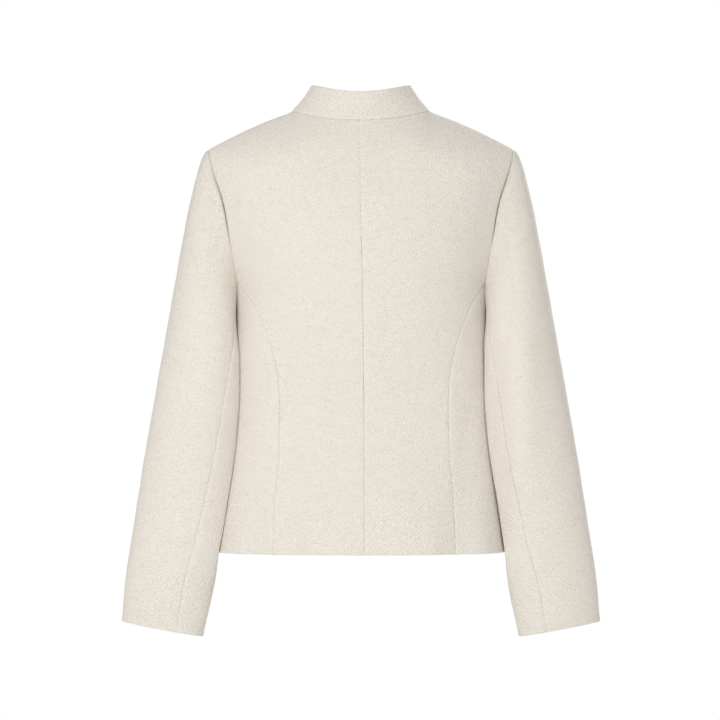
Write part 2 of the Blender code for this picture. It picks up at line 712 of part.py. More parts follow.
def main():
    for old in list(bpy.data.objects):
        bpy.data.objects.remove(old)

    def tweed(name):
        return plain_material("tweed_" + name, TWEED, 0.9)

    for word, side in SIDES.items():
        for face, place in ((BACK, "back"), (FRONT, "front")):
            name = f"{place}_{word}"
            cloth_piece(name, *panel_grids(side, face), side, tweed(name))
            name = f"side_{place}_{word}"
            side_panel(name, side, face, tweed(name))
        name = "upper_sleeve_" + word
        over_the_top = (lambda down: FORE_SEAM(down) - 2 * math.pi, HIND_SEAM)
        sleeve_panel(name, side, over_the_top, 0.0, YOKE_ROWS, tweed(name))
        name = "under_sleeve_" + word
        sleeve_panel(name, side, (HIND_SEAM, FORE_SEAM), math.pi, SIDE_COLUMNS, tweed(name))
    collar(tweed("collar"))
    for number in range(HOOK_COUNT):
        height = FIRST_HOOK - HOOK_SPACING * number
        for word, side, path in (("hook", 1, hook_path()), ("eye", -1, eye_path())):
            name = f"{word}_{number + 1}"
            wire_piece(name, side, path, height, plain_material("metal_" + name, HOOK_METAL, 0.4, 0.9))


main()
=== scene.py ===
"""Cropped tweed jacket with a stand collar: its cloth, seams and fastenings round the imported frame.

Metres, +Z up. The origin lies midway between the two points where the neck meets the shoulders,
the front faces -Y and the wearer's left is +X. Each panel is a thin closed wall of cloth on the
same form as its solid, with its seams turned in, its edges folded and its weave along the grain.
"""
import math
from collections import namedtuple
from functools import partialmethod

import bmesh
import bpy
import numpy as np
from bpy.props import FloatProperty, FloatVectorProperty, PointerProperty
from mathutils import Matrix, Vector


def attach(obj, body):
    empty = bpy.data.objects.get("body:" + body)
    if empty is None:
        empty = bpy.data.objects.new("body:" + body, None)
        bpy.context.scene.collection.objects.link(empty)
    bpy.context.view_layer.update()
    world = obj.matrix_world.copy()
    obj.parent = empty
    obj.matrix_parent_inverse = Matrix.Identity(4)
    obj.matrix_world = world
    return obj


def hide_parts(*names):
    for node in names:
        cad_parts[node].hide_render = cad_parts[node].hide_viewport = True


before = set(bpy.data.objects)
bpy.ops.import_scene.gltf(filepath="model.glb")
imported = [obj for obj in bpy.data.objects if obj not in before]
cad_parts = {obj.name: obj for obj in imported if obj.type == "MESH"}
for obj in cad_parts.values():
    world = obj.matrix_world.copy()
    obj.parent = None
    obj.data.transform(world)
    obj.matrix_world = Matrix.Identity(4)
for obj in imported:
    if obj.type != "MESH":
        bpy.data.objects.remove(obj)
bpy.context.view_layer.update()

bl_info = {
    "name": "Cropped tweed jacket",
    "version": (1, 0, 0),
    "blender": (4, 5, 0),
    "location": "3D View > Sidebar > Jacket",
    "description": "Cuts and sews a cropped stand-collar tweed jacket, filled out as it is worn",
    "category": "Add Mesh",
}

MM = 0.001
STEP = 1e-6
SHORT_WAY = 0.01
SIDES = {"left": 1, "right": -1}
BACK = 1
FRONT = -1
FACES = {"back": BACK, "front": FRONT}
UPRIGHT = np.array([0.0, 0.0, 1.0])
IN_PLAN = np.array([1, 1, 0])
QUARTER = math.pi / 2
HALVINGS = 48

CLOTH = 2.0 * MM
COLLAR_CLOTH = 3.0 * MM
ARMHOLE_GAP = 0.1 * MM
SLEEVE_CLEARANCE = 0.8 * MM
CONTACT_ROUND = 1.0 * MM
BESIDE_EDGE = 4.0 * MM
EDGE_PLAY = {"seam": 0.05 * MM, "front": 0.2 * MM, "fold": 0.0, "edge": 0.0}

HEM_HEIGHT = -538 * MM
NECK_HEIGHT = {BACK: -13 * MM, FRONT: -75 * MM}
NECK_ROUND = {BACK: 2, FRONT: 1.6}
NECK_HALF_WIDTH = 85 * MM
SHOULDER_TIP = 188 * MM
SHOULDER_ROUND = {BACK: 65 * MM, FRONT: 48 * MM}
SECTION_POWER = 2.5
FORWARD_BOW = 0.22

DRIFT_ENDS = -200 * MM
DRIFT_FADE = 60 * MM

ARMHOLE_TOP = -46.7 * MM
ARMHOLE_BOTTOM = -240 * MM
ARMHOLE_MIDDLE = (ARMHOLE_TOP + ARMHOLE_BOTTOM) / 2
ARMHOLE_RADIUS = (ARMHOLE_TOP - ARMHOLE_BOTTOM) / 2
ARMHOLE_SKEW = 0.08
ARMHOLE_ROUND = 0.8
ARMHOLE_REACH = {BACK: 50 * MM, FRONT: 54 * MM}
SEAM_MEETS_ARMHOLE = {BACK: -208 * MM, FRONT: -185 * MM}

COLLAR_TOP_HALF_WIDTH = 60.5 * MM
COLLAR_LEAN = {BACK: 8 * MM, FRONT: 7 * MM}
COLLAR_RISE = {BACK: 35 * MM, FRONT: 30 * MM}
COLLAR_RISE_SIDE = 32 * MM
COLLAR_HOLLOW = 2.0 * MM

# Rows and columns of the solids, and how many times finer the cloth's are
NECK_COLUMNS = 6
SHOULDER_COLUMNS = 5
PANEL_COLUMNS = NECK_COLUMNS + SHOULDER_COLUMNS
NECK_SHARE = NECK_COLUMNS / PANEL_COLUMNS
SIDE_COLUMNS = 5
COLLAR_COLUMNS = 4 * NECK_COLUMNS
SKIRT_ROWS = 15
YOKE_ROWS = 8
PANEL_ROWS = SKIRT_ROWS + YOKE_ROWS
CAP_ROWS = 8
ARM_ROWS = 14
COLLAR_ROWS = 4
FINER = 4
FINER_SIDE = 5
FINER_SLEEVE = 10
FINER_COLLAR_ROWS = 6
GRAIN_FINER = 2

# Extra lines close to an edge, as shares of the way across or up a piece
NEAR_SIDE = (0.007, 0.014, 0.026)
NEAR_HEM = (0.0016, 0.0034, 0.006)
NEAR_CUFF = (0.0016, 0.0032, 0.0056)
NEAR_COLLAR_END = (0.002, 0.004, 0.008)
NEAR_COLLAR_BASE = (0.03,)
NEAR_COLLAR_TOP = (0.02, 0.045, 0.08)

# The edges of a piece's grid
FIRST_COLUMN, LAST_COLUMN, FIRST_ROW, LAST_ROW = range(4)

# How the cloth lies at its seams and edges
MEETING_WIDTH = 4 * MM
LEAST_CLOTH = 0.5 * MM
STRIP_EDGE = 1.6 * MM
BACK_TURN = 0.7
# Width over which the cloth beside a seam is painted paler, as a painted highlight
SEAM_HIGHLIGHT_WIDTH = 3 * MM
PUCKERS = ((0.25, 1.9 * MM, 0.0), (0.2, 3.1 * MM, 1.0))
ARMHOLE_STEPS = 720
SHARP_EDGE = math.radians(60)

# The least share of its width times its length that a sheet's area is taken to fill
LEAST_SHEET = 0.31

# How squarely a crease ends, where the sleeve's creases begin, and what keeps them off the body
CREASE_END = 4
SLEEVE_RADIUS = 45 * MM
CREASE_START, CREASE_GROWTH = 0.25, 0.3
SLEEVE_ROOM = 0.6 * MM
LEAST_LEAN = 0.05


# The form of the jacket, the same as its solids'

def table(names, *rows):
    """Named columns of lengths, written in millimetres and kept in metres, one row a section."""
    columns = np.array(rows, float).T * MM
    return dict(zip(names.split(), columns))


def smooth(part, start, end, leaving, arriving):
    """A curve from start to end as part goes from 0 to 1, with its slopes at both ends."""
    rest = 1 - part
    return (start * rest * rest * (1 + 2 * part) + end * part * part * (1 + 2 * rest)
            + leaving * part * rest * rest - arriving * part * part * rest)


def through(keys, values):
    """A smooth curve through values at rising keys, level past its ends."""
    slopes = np.gradient(values, keys)

    def curve(place):
        place = np.clip(place, keys[0], keys[-1])
        left = np.clip(np.searchsorted(keys, place) - 1, 0, len(keys) - 2)
        span = keys[left + 1] - keys[left]
        return smooth((place - keys[left]) / span, values[left], values[left + 1],
                      slopes[left] * span, slopes[left + 1] * span)

    return curve


def column(source, key, name):
    """One column of a table as a smooth curve over its key column."""
    return through(source[key], source[name])


TORSO = table(
    "height back_half_width front_half_width back front",
    (-545, 179.5, 179.5, 121, 119),
    (-480, 173.5, 173.5, 108, 112),
    (-395, 168, 168, 93, 104),
    (-340, 163.5, 163.5, 97, 109),
    (-280, 160, 160, 109, 120),
    (-240, 156.5, 156.5, 115, 123),
    (-212, 155.5, 155.5, 118, 121),
    (-185, 161.5, 163, 118, 115),
    (-151, 167.5, 171.5, 116, 103),
    (-102, 177, 187, 108, 83),
    (-75, 188, 202, 98, 71),
    (-46.7, 203, 225, 86, 61),
    (-13, 215, 240, 66, 46),
    (20, 220, 245, 52, 34),
)
RIDGE = table(
    "out height",
    (0, 55), (20, 42), (40, 29), (60, 17), (75, 7.5), (85, 0), (100, -6), (120, -14),
    (141.5, -23.3), (165, -35), (188, -46.7), (215, -61),
)
CENTRE_DRIFT = table(
    "height shift",
    (-545, -3.8), (-316, -3.2), (-212, -1.8), (-100, 0.6), (0, 1.6),
)
PANEL_SEAM = {
    BACK: table(
        "height out",
        (-545, 111), (-475, 108.4), (-420, 103.8), (-365, 102.5), (-328, 104), (-292, 111),
        (-258, 122.8), (-240, 131), (-222, 141.8),
    ),
    FRONT: table(
        "height out",
        (-545, 100), (-480, 92), (-395, 86), (-320, 88), (-262, 96), (-225, 113), (-203, 133),
    ),
}
FOLDS = {
    BACK: table(
        "out top depth spread",
        (-118, -395, -5, 15), (-157, -370, 9, 19), (-55, -410, 4, 30), (-84, -440, 2, 12),
        (58, -465, -3.5, 13), (88, -430, 3, 18), (132, -410, -3, 18), (152, -400, 4, 16),
    ),
    FRONT: table(
        "out top depth spread",
        (-128, -400, -4, 16), (-92, -420, 4, 20), (-48, -440, -3, 18), (46, -430, -4, 20),
        (84, -410, 5, 22), (126, -395, -5, 17),
    ),
}
BUST = table("out height depth spread rise", (84, -252, 7, 46, 62))
SLEEVE_INNER = table(
    "height out",
    (-660, 196), (-642, 193), (-610, 186), (-580, 179), (-540, 167.5), (-500, 160.5), (-450, 154),
    (-400, 149.5), (-345, 144.5), (-300, 142.5), (-260, 143),
)
SLEEVE_OUTER = table(
    "height out",
    (-640, 295), (-623, 293), (-591, 290), (-561, 286.5), (-521, 280), (-480, 273.5),
    (-431, 265.5), (-382, 257), (-329, 248), (-285, 240), (-240, 232),
)
SLEEVE_BODY = table(
    "height half_depth centre",
    (-650, 31, 8), (-560, 39, 26), (-470, 44, 34), (-390, 48, 38), (-300, 55, 32),
)
# How late the rows of a panel are drawn to its top, and those of a side panel to its armhole
YOKE_DRAW, ARMHOLE_DRAW, SIDE_DRAW = 2, 3, 4
# How the sleeve leaves the armhole, all round it, and how long it holds that way
CAP_TOP_OUT, CAP_TOP_FALL = 0.9, 0.43
CAP_SIDE_OUT, CAP_SIDE_BACK, CAP_SIDE_FALL = 0.75, 0.55, 0.05
CAP_LOW_DRAW, CAP_LOW_SWELL = 1.3, 1.6
CAP_START_PULL, CAP_END_PULL = 0.21, 0.93
CLEAR_BY = 0.3
SLEEVE_TOP_RING = -300 * MM
CUFF_HEIGHT = -642 * MM
CUFF_TILT = 0.18
# Angles of the sleeve's seams round the arm, over the way down from the armhole (0) to the cuff (2)
HIND_SEAM = through(np.array([0, 0.45, 1, 1.15, 1.35, 1.6, 1.85, 2]),
                    np.radians([132, 137, 136, 129, 123, 114, 110, 111]))
FORE_SEAM = through(np.array([0, 1, 2]), np.radians([244.5, 236, 226]))

torso_half_width = {face: column(TORSO, "height", f"{word}_half_width")
                    for word, face in FACES.items()}
torso_depth = {face: column(TORSO, "height", word) for word, face in FACES.items()}
ridge_height = column(RIDGE, "out", "height")
centre_drift = column(CENTRE_DRIFT, "height", "shift")
sleeve_inner = column(SLEEVE_INNER, "height", "out")
sleeve_outer = column(SLEEVE_OUTER, "height", "out")
sleeve_half_depth = column(SLEEVE_BODY, "height", "half_depth")
sleeve_centre = column(SLEEVE_BODY, "height", "centre")


def power(value, exponent):
    """A power that keeps the sign of what it raises."""
    return np.sign(value) * np.abs(value) ** exponent


def ramp(value):
    """Rises smoothly from 0 to 1 as the value does."""
    value = np.clip(value, 0, 1)
    return value * value * (3 - 2 * value)


def centre_out(side, face, height):
    """Distance out of the back's centre seam, which drifts to one side, or of the front's edge."""
    return side * centre_drift(height) * (face == BACK)


def fold_depth(side, face, out, height):
    """How far the hem's soft flutes stand out of the plain section, growing towards the hem."""
    depth = np.zeros(np.broadcast(out, height).shape)
    rows = FOLDS[face]
    for centre, top, rise, spread in zip(rows["out"], rows["top"], rows["depth"], rows["spread"]):
        growth = ramp((top - height) / (top - HEM_HEIGHT))
        depth = depth + rise * growth * np.exp(-((side * out - centre) / spread) ** 2)
    return depth


def torso_reach(side, face, out, height):
    """Distance of the cloth in front of or behind the side line, so far out from the middle."""
    share = np.clip(np.abs(out) / torso_half_width[face](height), 0, 1)
    flat = (1 - share ** SECTION_POWER) ** (1 / SECTION_POWER)
    below = np.clip((ridge_height(np.abs(out)) - height) / SHOULDER_ROUND[face], 0, 1)
    shoulder = np.sqrt(1 - (1 - below) ** 2)
    reach = torso_depth[face](height) + fold_depth(side, face, out, height)
    if face == FRONT:
        for centre, level, depth, spread, rise in zip(*BUST.values()):
            swell = np.exp(-((np.abs(out) - centre) / spread) ** 2 - ((height - level) / rise) ** 2)
            reach = reach + depth * swell
    return reach * flat * shoulder


def torso_point(side, face, turn, height):
    """A place on the cloth's outer face, on the left half. The right half is mirrored later."""
    out = torso_half_width[face](height) * power(np.sin(turn), 2 / SECTION_POWER)
    return np.stack([out, face * torso_reach(side, face, out, height), height + 0 * out], axis=-1)


def turn_at(face, out, height):
    """The turn at which the section at a height reaches a distance out from the middle."""
    share = np.clip(out / torso_half_width[face](height), -1, 1)
    return np.arcsin(power(share, SECTION_POWER / 2))


def armhole_place(angle):
    """Height and reach of the armhole at an angle from its top, over the back at a quarter turn."""
    reach = np.where(np.sin(angle) >= 0, ARMHOLE_REACH[BACK], ARMHOLE_REACH[FRONT])
    height = ARMHOLE_MIDDLE + ARMHOLE_RADIUS * np.cos(angle)
    level = np.abs(np.sin(angle)) ** ARMHOLE_ROUND
    return height, reach * level * (1 - ARMHOLE_SKEW * np.cos(angle))


def armhole_out(face, angle):
    """Distance out from the middle at which the armhole lies on the torso."""
    height, reach = armhole_place(angle)
    low = np.zeros_like(height)
    high = torso_half_width[face](height)
    for _ in range(HALVINGS):
        middle = (low + high) / 2
        inside = torso_reach(1, face, middle, height) > reach
        low = np.where(inside, middle, low)
        high = np.where(inside, high, middle)
    return (low + high) / 2


def armhole_turn(face, angle):
    """Turn and height of the armhole edge on one face of the torso."""
    height = armhole_place(angle)[0]
    turn = turn_at(face, armhole_out(face, angle), height)
    return np.where(np.abs(angle - math.pi) < STEP, QUARTER, turn), height


def meeting_angle(face):
    """Armhole angle, counted from the top on either face, at which the panel seam meets it."""
    return math.acos((SEAM_MEETS_ARMHOLE[face] - ARMHOLE_MIDDLE) / ARMHOLE_RADIUS)


def own_angle(face, angle):
    """An angle counted down either face, as an angle round the whole armhole."""
    return angle if face == BACK else 2 * math.pi - angle


def yoke_share(part):
    """Rows of the upper panels close up towards the shoulder, where the cloth rounds over."""
    return np.sin(QUARTER * part)


def panel_seam_out(side, face):
    """Distance out of the curved seam between a panel and its side panel, over the height."""
    rows = PANEL_SEAM[face]
    drift = side * centre_drift(rows["height"]) if face == BACK else 0 * rows["height"]
    meeting = armhole_out(face, np.array([own_angle(face, meeting_angle(face))]))
    keys = np.append(rows["height"], SEAM_MEETS_ARMHOLE[face])
    fade = ramp((DRIFT_ENDS - keys[:-1]) / DRIFT_FADE)
    return through(keys, np.append(rows["out"] + drift * fade, meeting))


def skirt_height(part, top):
    """Height of a lower row that runs from the hem (0) to the top of its seam (1)."""
    return HEM_HEIGHT + (top - HEM_HEIGHT) * part


def yoke_part(up):
    """How far up the yoke, above the curved seam, a place up a whole panel lies."""
    split = SKIRT_ROWS / PANEL_ROWS
    return np.clip((up - split) / (1 - split), 0, 1)


def skirt_part(up):
    """How far up its curved seam a place up a whole panel lies."""
    return np.clip(up * PANEL_ROWS / SKIRT_ROWS, 0, 1)


def centre_edge(side, face, up):
    """Distance out and height along the centre seam of the back, or the edge of the front."""
    meeting = SEAM_MEETS_ARMHOLE[face]
    rise = (NECK_HEIGHT[face] - meeting) * yoke_share(yoke_part(up))
    height = skirt_height(skirt_part(up), meeting) + rise
    return centre_out(side, face, height), height


def outer_edge(side, face, up):
    """Distance out and height up the curved seam and armhole, and the straight way up beside."""
    meeting = SEAM_MEETS_ARMHOLE[face]
    seam_height = skirt_height(skirt_part(up), meeting)
    seam_out = panel_seam_out(side, face)(seam_height)
    angle = own_angle(face, meeting_angle(face) * (1 - yoke_part(up)))
    height = armhole_place(angle)[0]
    out = armhole_out(face, angle)
    meeting_out = panel_seam_out(side, face)(meeting)
    rise = (height - meeting) / (ARMHOLE_TOP - meeting)
    straight = meeting_out + (SHOULDER_TIP - meeting_out) * rise
    below = yoke_part(up) <= 0
    return (np.where(below, seam_out, out), np.where(below, seam_height, height),
            np.where(below, seam_out, straight))


def neckline(face, part):
    """Distance out and height of the neckline, from the centre (0) to the shoulder (1)."""
    down = np.cos(QUARTER * np.minimum(part, 1)) ** NECK_ROUND[face]
    return NECK_HALF_WIDTH * np.sin(QUARTER * part), NECK_HEIGHT[face] * down


def top_edge(side, face, across):
    """Distance out and height along the neckline and out along the shoulder seam."""
    part = np.clip(across / NECK_SHARE, 0, 1)
    out, height = neckline(face, part)
    out = out + centre_out(side, face, NECK_HEIGHT[face]) * (1 - part)
    along = np.clip((across - NECK_SHARE) / (1 - NECK_SHARE), 0, 1)
    shoulder = NECK_HALF_WIDTH + (SHOULDER_TIP - NECK_HALF_WIDTH) * along
    return (np.where(across > NECK_SHARE, shoulder, out),
            np.where(across > NECK_SHARE, ridge_height(shoulder), height))


def patch(across, near, far, drawn, top, corner, far_corner):
    """A value inside a patch of cloth, from its values at both sides, drawn to those at its top."""
    return (near * (1 - across) + far * across
            + drawn * (top - corner * (1 - across) - far_corner * across))


def panel_place(side, face, across, up):
    """Outer face of a back or front panel, 0 to 1 across from its centre and up from its hem."""
    near_out, near_height = centre_edge(side, face, up)
    far_out, far_height, straight_out = outer_edge(side, face, up)
    top_out, top_height = top_edge(side, face, across)
    corner_height = NECK_HEIGHT[face]
    corner_out = centre_out(side, face, corner_height)
    drawn = yoke_share(yoke_part(up)) ** YOKE_DRAW
    out = patch(across, near_out, straight_out, drawn, top_out, corner_out, SHOULDER_TIP)
    out = out + (far_out - straight_out) * across ** ARMHOLE_DRAW
    height = patch(across, near_height, far_height, drawn, top_height, corner_height, ARMHOLE_TOP)
    return np.stack([out, face * torso_reach(side, face, out, height), height], axis=-1)


def side_place(side, face, across, up):
    """Outer face of a side panel, from its curved seam (0) to the side seam (1)."""
    near_height = skirt_height(up, SEAM_MEETS_ARMHOLE[face])
    near_turn = turn_at(face, panel_seam_out(side, face)(near_height), near_height)
    far_height = skirt_height(up, ARMHOLE_BOTTOM)
    meeting = meeting_angle(face)
    down = meeting + (math.pi - meeting) * across
    top_turn, top_height = armhole_turn(face, own_angle(face, down))
    corner_turn, corner_height = armhole_turn(face, np.array(own_angle(face, meeting)))
    drawn = up ** SIDE_DRAW
    turn = patch(across, near_turn, QUARTER, drawn, top_turn, corner_turn, QUARTER)
    height = patch(across, near_height, far_height, drawn, top_height, corner_height,
                   ARMHOLE_BOTTOM)
    return torso_point(side, face, turn, height)


def sleeve_ring(angle, along):
    """The sleeve below its cap, round its own axis, from its upper ring (1) to the cuff (2)."""
    low = SLEEVE_TOP_RING + (CUFF_HEIGHT - SLEEVE_TOP_RING) * (along - 1)
    inner = sleeve_inner(low)
    width = sleeve_outer(low + CUFF_TILT * (sleeve_outer(low) - inner)) - inner
    middle = low + CUFF_TILT * width / 2
    return np.stack([inner + width / 2 * (1 + np.cos(angle)),
                     sleeve_centre(middle) + sleeve_half_depth(middle) * np.sin(angle),
                     middle + CUFF_TILT * width / 2 * np.cos(angle)], axis=-1)


def torso_facing(side, face, out, height):
    """Ways in which the torso's outer face looks, just inside places on it."""
    near = out - 2 * STEP
    slope_out = (torso_reach(side, face, near + STEP, height)
                 - torso_reach(side, face, near - STEP, height)) / (2 * STEP)
    slope_up = (torso_reach(side, face, near, height + STEP)
                - torso_reach(side, face, near, height - STEP)) / (2 * STEP)
    return unit(np.stack([-slope_out, face + 0 * slope_out, -slope_up], axis=-1))


def armhole_edge(angle):
    """Places on the armhole edge of the torso's outer face, and the ways the cloth faces there."""
    height, reach = armhole_place(angle)
    points, ways = [], []
    for face in (BACK, FRONT):
        out = armhole_out(face, angle)
        points.append(np.stack([out, face * reach, height], axis=-1))
        ways.append(torso_facing(1, face, out, height))
    behind = (np.sin(angle) >= 0)[..., None]
    return np.where(behind, *points), np.where(behind, *ways)


def unit(vectors):
    """Vectors of length 1."""
    return vectors / np.linalg.norm(vectors, axis=-1, keepdims=True)


def cap_start(angle):
    """Way in which the sleeve leaves the armhole: out at the shoulder, down at the underarm."""
    top = ((1 + np.cos(angle)) / 2) ** 2
    bottom = ((1 - np.cos(angle)) / 2) ** 2
    level = np.sin(angle) ** 2
    low = np.where(np.sin(angle) > 0, np.clip(-np.cos(angle), 0, 1), 0)
    out = CAP_TOP_OUT * top + CAP_SIDE_OUT * level * (1 - CAP_LOW_DRAW * low)
    back = CAP_SIDE_BACK * level * (1 + CAP_LOW_SWELL * low) * np.sign(np.sin(angle))
    fall = CAP_TOP_FALL * top + CAP_SIDE_FALL * level + bottom
    return unit(np.stack([out, back, -fall], axis=-1))


def torso_side(side, points):
    """How far out the torso reaches beside each of the points."""
    face_out = []
    for face in (BACK, FRONT):
        half_width = torso_half_width[face](points[..., 2])
        near = half_width - BESIDE_EDGE
        fold = np.maximum(fold_depth(side, face, near, points[..., 2]), 0)
        share = np.clip((np.abs(points[..., 1]) - fold) / torso_depth[face](points[..., 2]), 0, 1)
        face_out.append(half_width * (1 - share ** SECTION_POWER) ** (1 / SECTION_POWER))
    return np.where(points[..., 1] >= 0, face_out[0], face_out[1])


def sleeve_place(side, angle, along):
    """Outer face of the sleeve, from the armhole (0) over the cap (1) to the cuff (2)."""
    cap = np.clip(along, 0, 1)[..., None]
    edge, way = armhole_edge(angle)
    leave = cap_start(angle)
    start = edge + ARMHOLE_GAP * unit(leave + way)
    end = sleeve_ring(angle, np.ones_like(along))
    onward = unit(sleeve_ring(angle, np.full_like(along, 1 + SHORT_WAY)) - end)
    chord = np.linalg.norm(end - start, axis=-1, keepdims=True)
    underneath = (1 - np.cos(angle)) / 2
    early = (CAP_START_PULL + (1 - CAP_START_PULL) * underneath)[..., None] * chord
    curved = smooth(cap, start, end, leave * early, onward * (CAP_END_PULL * chord))
    points = np.where(along[..., None] <= 1, curved, sleeve_ring(angle, np.maximum(along, 1)))
    near = ramp(along / CLEAR_BY)
    beside = torso_side(side, points) + ARMHOLE_GAP + (SLEEVE_CLEARANCE - ARMHOLE_GAP) * near
    over = points[..., 0] - beside
    softness = CONTACT_ROUND * near
    pushed = beside + (over + np.sqrt(over * over + softness * softness)) / 2
    out = np.where(points[..., 2] < ARMHOLE_BOTTOM, pushed, points[..., 0])
    return np.stack([out, points[..., 1], points[..., 2]], axis=-1)


def facing(surface, across, up, flip):
    """Ways in which a surface faces, found from small steps that stay on it."""
    small = 10 * STEP
    across_back = np.maximum(across - small, across.min())
    across_on = np.minimum(across + small, across.max())
    up_back = np.maximum(up - small, up.min())
    up_on = np.minimum(up + small, up.max())
    along_row = surface(across_on, up) - surface(across_back, up)
    along_column = surface(across, up_on) - surface(across, up_back)
    return flip * unit(np.cross(along_row, along_column))


def spread(count):
    """Even steps from 0 to 1."""
    return np.linspace(0, 1, count + 1)


def neck_part(face, around):
    """How far a place round the neck is from its face's centre (0) to the shoulder (1)."""
    part = 2 * np.abs(around)
    return np.clip(part if face == BACK else 2 - part, 0, 1)


def collar_place(around, up):
    """Outer face of the collar, from its right front edge (-1) over the nape to its left (1)."""
    base, top = [], []
    way = np.where(around < 0, -1, 1)
    for face in (BACK, FRONT):
        part = neck_part(face, around)
        out, height = neckline(face, part)
        reach = torso_reach(1, face, out, height)
        shift = centre_out(1, face, NECK_HEIGHT[face]) * (1 - part)
        base.append(np.stack([way * out + shift, face * reach, height], axis=-1))
        turn = QUARTER * part
        middle = torso_reach(1, face, 0.0, neckline(face, 0.0)[1]) - COLLAR_LEAN[face]
        rise = COLLAR_RISE_SIDE + (COLLAR_RISE[face] - COLLAR_RISE_SIDE) * np.cos(turn)
        top.append(np.stack([way * COLLAR_TOP_HALF_WIDTH * np.sin(turn) + shift,
                             face * middle * np.cos(turn), height + rise], axis=-1))
    behind = (np.abs(around) <= 0.5)[..., None]
    low, high = np.where(behind, *base), np.where(behind, *top)
    rise = up[..., None]
    points = low + (high - low) * rise
    return points - COLLAR_HOLLOW * np.sin(math.pi * rise) * unit(low * IN_PLAN)


def neckline_facing(around):
    """Ways in which the torso's cloth faces at the neckline."""
    one = np.ones_like(around)
    mirror = np.stack([np.where(around < 0, -1, 1), one, one], axis=-1)
    ways = [mirror * torso_facing(1, face, *neckline(face, neck_part(face, around)))
            for face in (BACK, FRONT)]
    return np.where((np.abs(around) <= 0.5)[..., None], *ways)


# Folds that the worn cloth falls into, finer than the form

CREASES = {
    BACK: table(
        "out height run rise depth width",
        (30, -235, 2, 70, -0.9, 17), (-33, -250, -2, 62, -0.8, 15),
        (128, -262, -16, 26, 0.8, 9), (-130, -270, 18, 24, -0.8, 10),
        (96, -372, 26, 10, -0.7, 9), (-92, -384, -28, 9, -0.8, 10),
        (70, -408, 22, -8, 0.5, 9), (-128, -392, -3, 38, -1.6, 9),
        (60, -130, 42, -18, 0.6, 20), (-64, -120, -40, -20, 0.5, 22),
    ),
    FRONT: table(
        "out height run rise depth width",
        (128, -238, -20, 18, -0.9, 9), (-126, -246, 18, 20, -0.8, 10),
        (96, -388, 26, 9, -0.8, 9), (-92, -374, -24, 8, -0.7, 9),
        (52, -402, 20, -7, 0.5, 9), (-48, -392, -22, -8, 0.5, 9),
        (118, -128, -12, 34, 0.8, 14), (-120, -134, 13, 30, 0.7, 13),
    ),
}
# Angle, way down, half the runs round and down, depth and width, in degrees, shares and millimetres
SLEEVE_CREASES = {
    "left": (
        (158, 1.42, 3, 0.46, 1.9, 13), (42, 1.33, 26, 0.02, -0.9, 13),
        (58, 1.42, 22, -0.02, -0.6, 14), (262, 1.33, 26, -0.02, -1.1, 9),
        (250, 1.42, 22, 0.02, -0.9, 9), (272, 1.24, 20, 0.01, -0.7, 10),
        (96, 1.80, 20, 0.02, -0.5, 14), (300, 0.90, 26, 0.06, -0.8, 14),
    ),
    "right": (
        (92, 1.17, 14, 0.34, 5.2, 16), (134, 1.25, 2, 0.42, -3.6, 20),
        (48, 1.30, 24, -0.02, -0.7, 14), (38, 1.43, 26, 0.02, -0.9, 12),
        (258, 1.30, 24, 0.02, -1.0, 9), (268, 1.41, 20, -0.02, -0.9, 9),
        (252, 1.50, 18, 0.01, -0.6, 10), (90, 1.84, 20, -0.02, -0.5, 14),
        (296, 0.92, 24, -0.06, -0.8, 14),
    ),
}
# Waves of cloth that is never quite smooth: strength, turns a metre along X, Y and Z, and shift
WAVER = ((1.0, 97, 0, 61, 1.3), (1.0, -83, 40, 109, 0.0), (0.6, 0, 67, 151, 2.1),
         (0.5, 173, 0, -71, 0.4))
WAVER_DEPTH = 0.10 * MM


def crease(across, up, run, rise, width):
    """A soft crease through the middle, 1 on its line and less beside it and past its ends."""
    reach = run * run + rise * rise
    along = (across * run + up * rise) / reach
    beside = (across * rise - up * run) / math.sqrt(reach)
    return np.exp(-(beside / width) ** 2 - along ** CREASE_END)


def crease_depth(rows, across, height):
    """How far the creases of a table lift or sink the cloth of the body."""
    total = np.zeros(np.broadcast(across, height).shape)
    for middle, level, run, rise, depth, width in zip(*rows.values()):
        total = total + depth * crease(across - middle, height - level, run, rise, width)
    return total


def sleeve_crease_depth(word, angle, along):
    """How far a sleeve's creases, round the elbow and under the cap, lift or sink its cloth."""
    total = np.zeros(np.broadcast(angle, along).shape)
    length = SLEEVE_TOP_RING - CUFF_HEIGHT
    for middle, level, run, rise, depth, width in SLEEVE_CREASES[word]:
        for turn in (-2 * math.pi, 0, 2 * math.pi):
            across = (angle + turn - math.radians(middle)) * SLEEVE_RADIUS
            down = (along - level) * length
            total = total + depth * MM * crease(across, down, math.radians(run) * SLEEVE_RADIUS,
                                                rise * length, width * MM)
    return total


def unevenness(points):
    """The slight waver of soft cloth that is never quite smooth."""
    total = np.zeros(points.shape[:-1])
    for strength, *turns, shift in WAVER:
        total = total + strength * np.sin(points @ np.array(turns) + shift)
    return WAVER_DEPTH * total


# Cutting and sewing: a wall of cloth from a grid of places

# A piece laid out for sewing: its outer face, the ways it faces, its pattern, how far it is lifted
# and, by edge, the ways in which it and the neighbour that it meets at an angle both turn in
Cut = namedtuple("Cut", "outer ways grain lift meeting")


def steps_with_edges(count, first, last):
    """Even steps from 0 to 1, with closer ones beside an edge that is turned in."""
    return np.unique(np.concatenate([spread(count), np.array(first), 1 - np.array(last)]))


def grown(steps):
    """Running totals of steps along the last axis, from 0."""
    start = np.zeros(steps.shape[:-1] + (1,))
    return np.concatenate([start, np.cumsum(steps, axis=-1)], axis=-1)


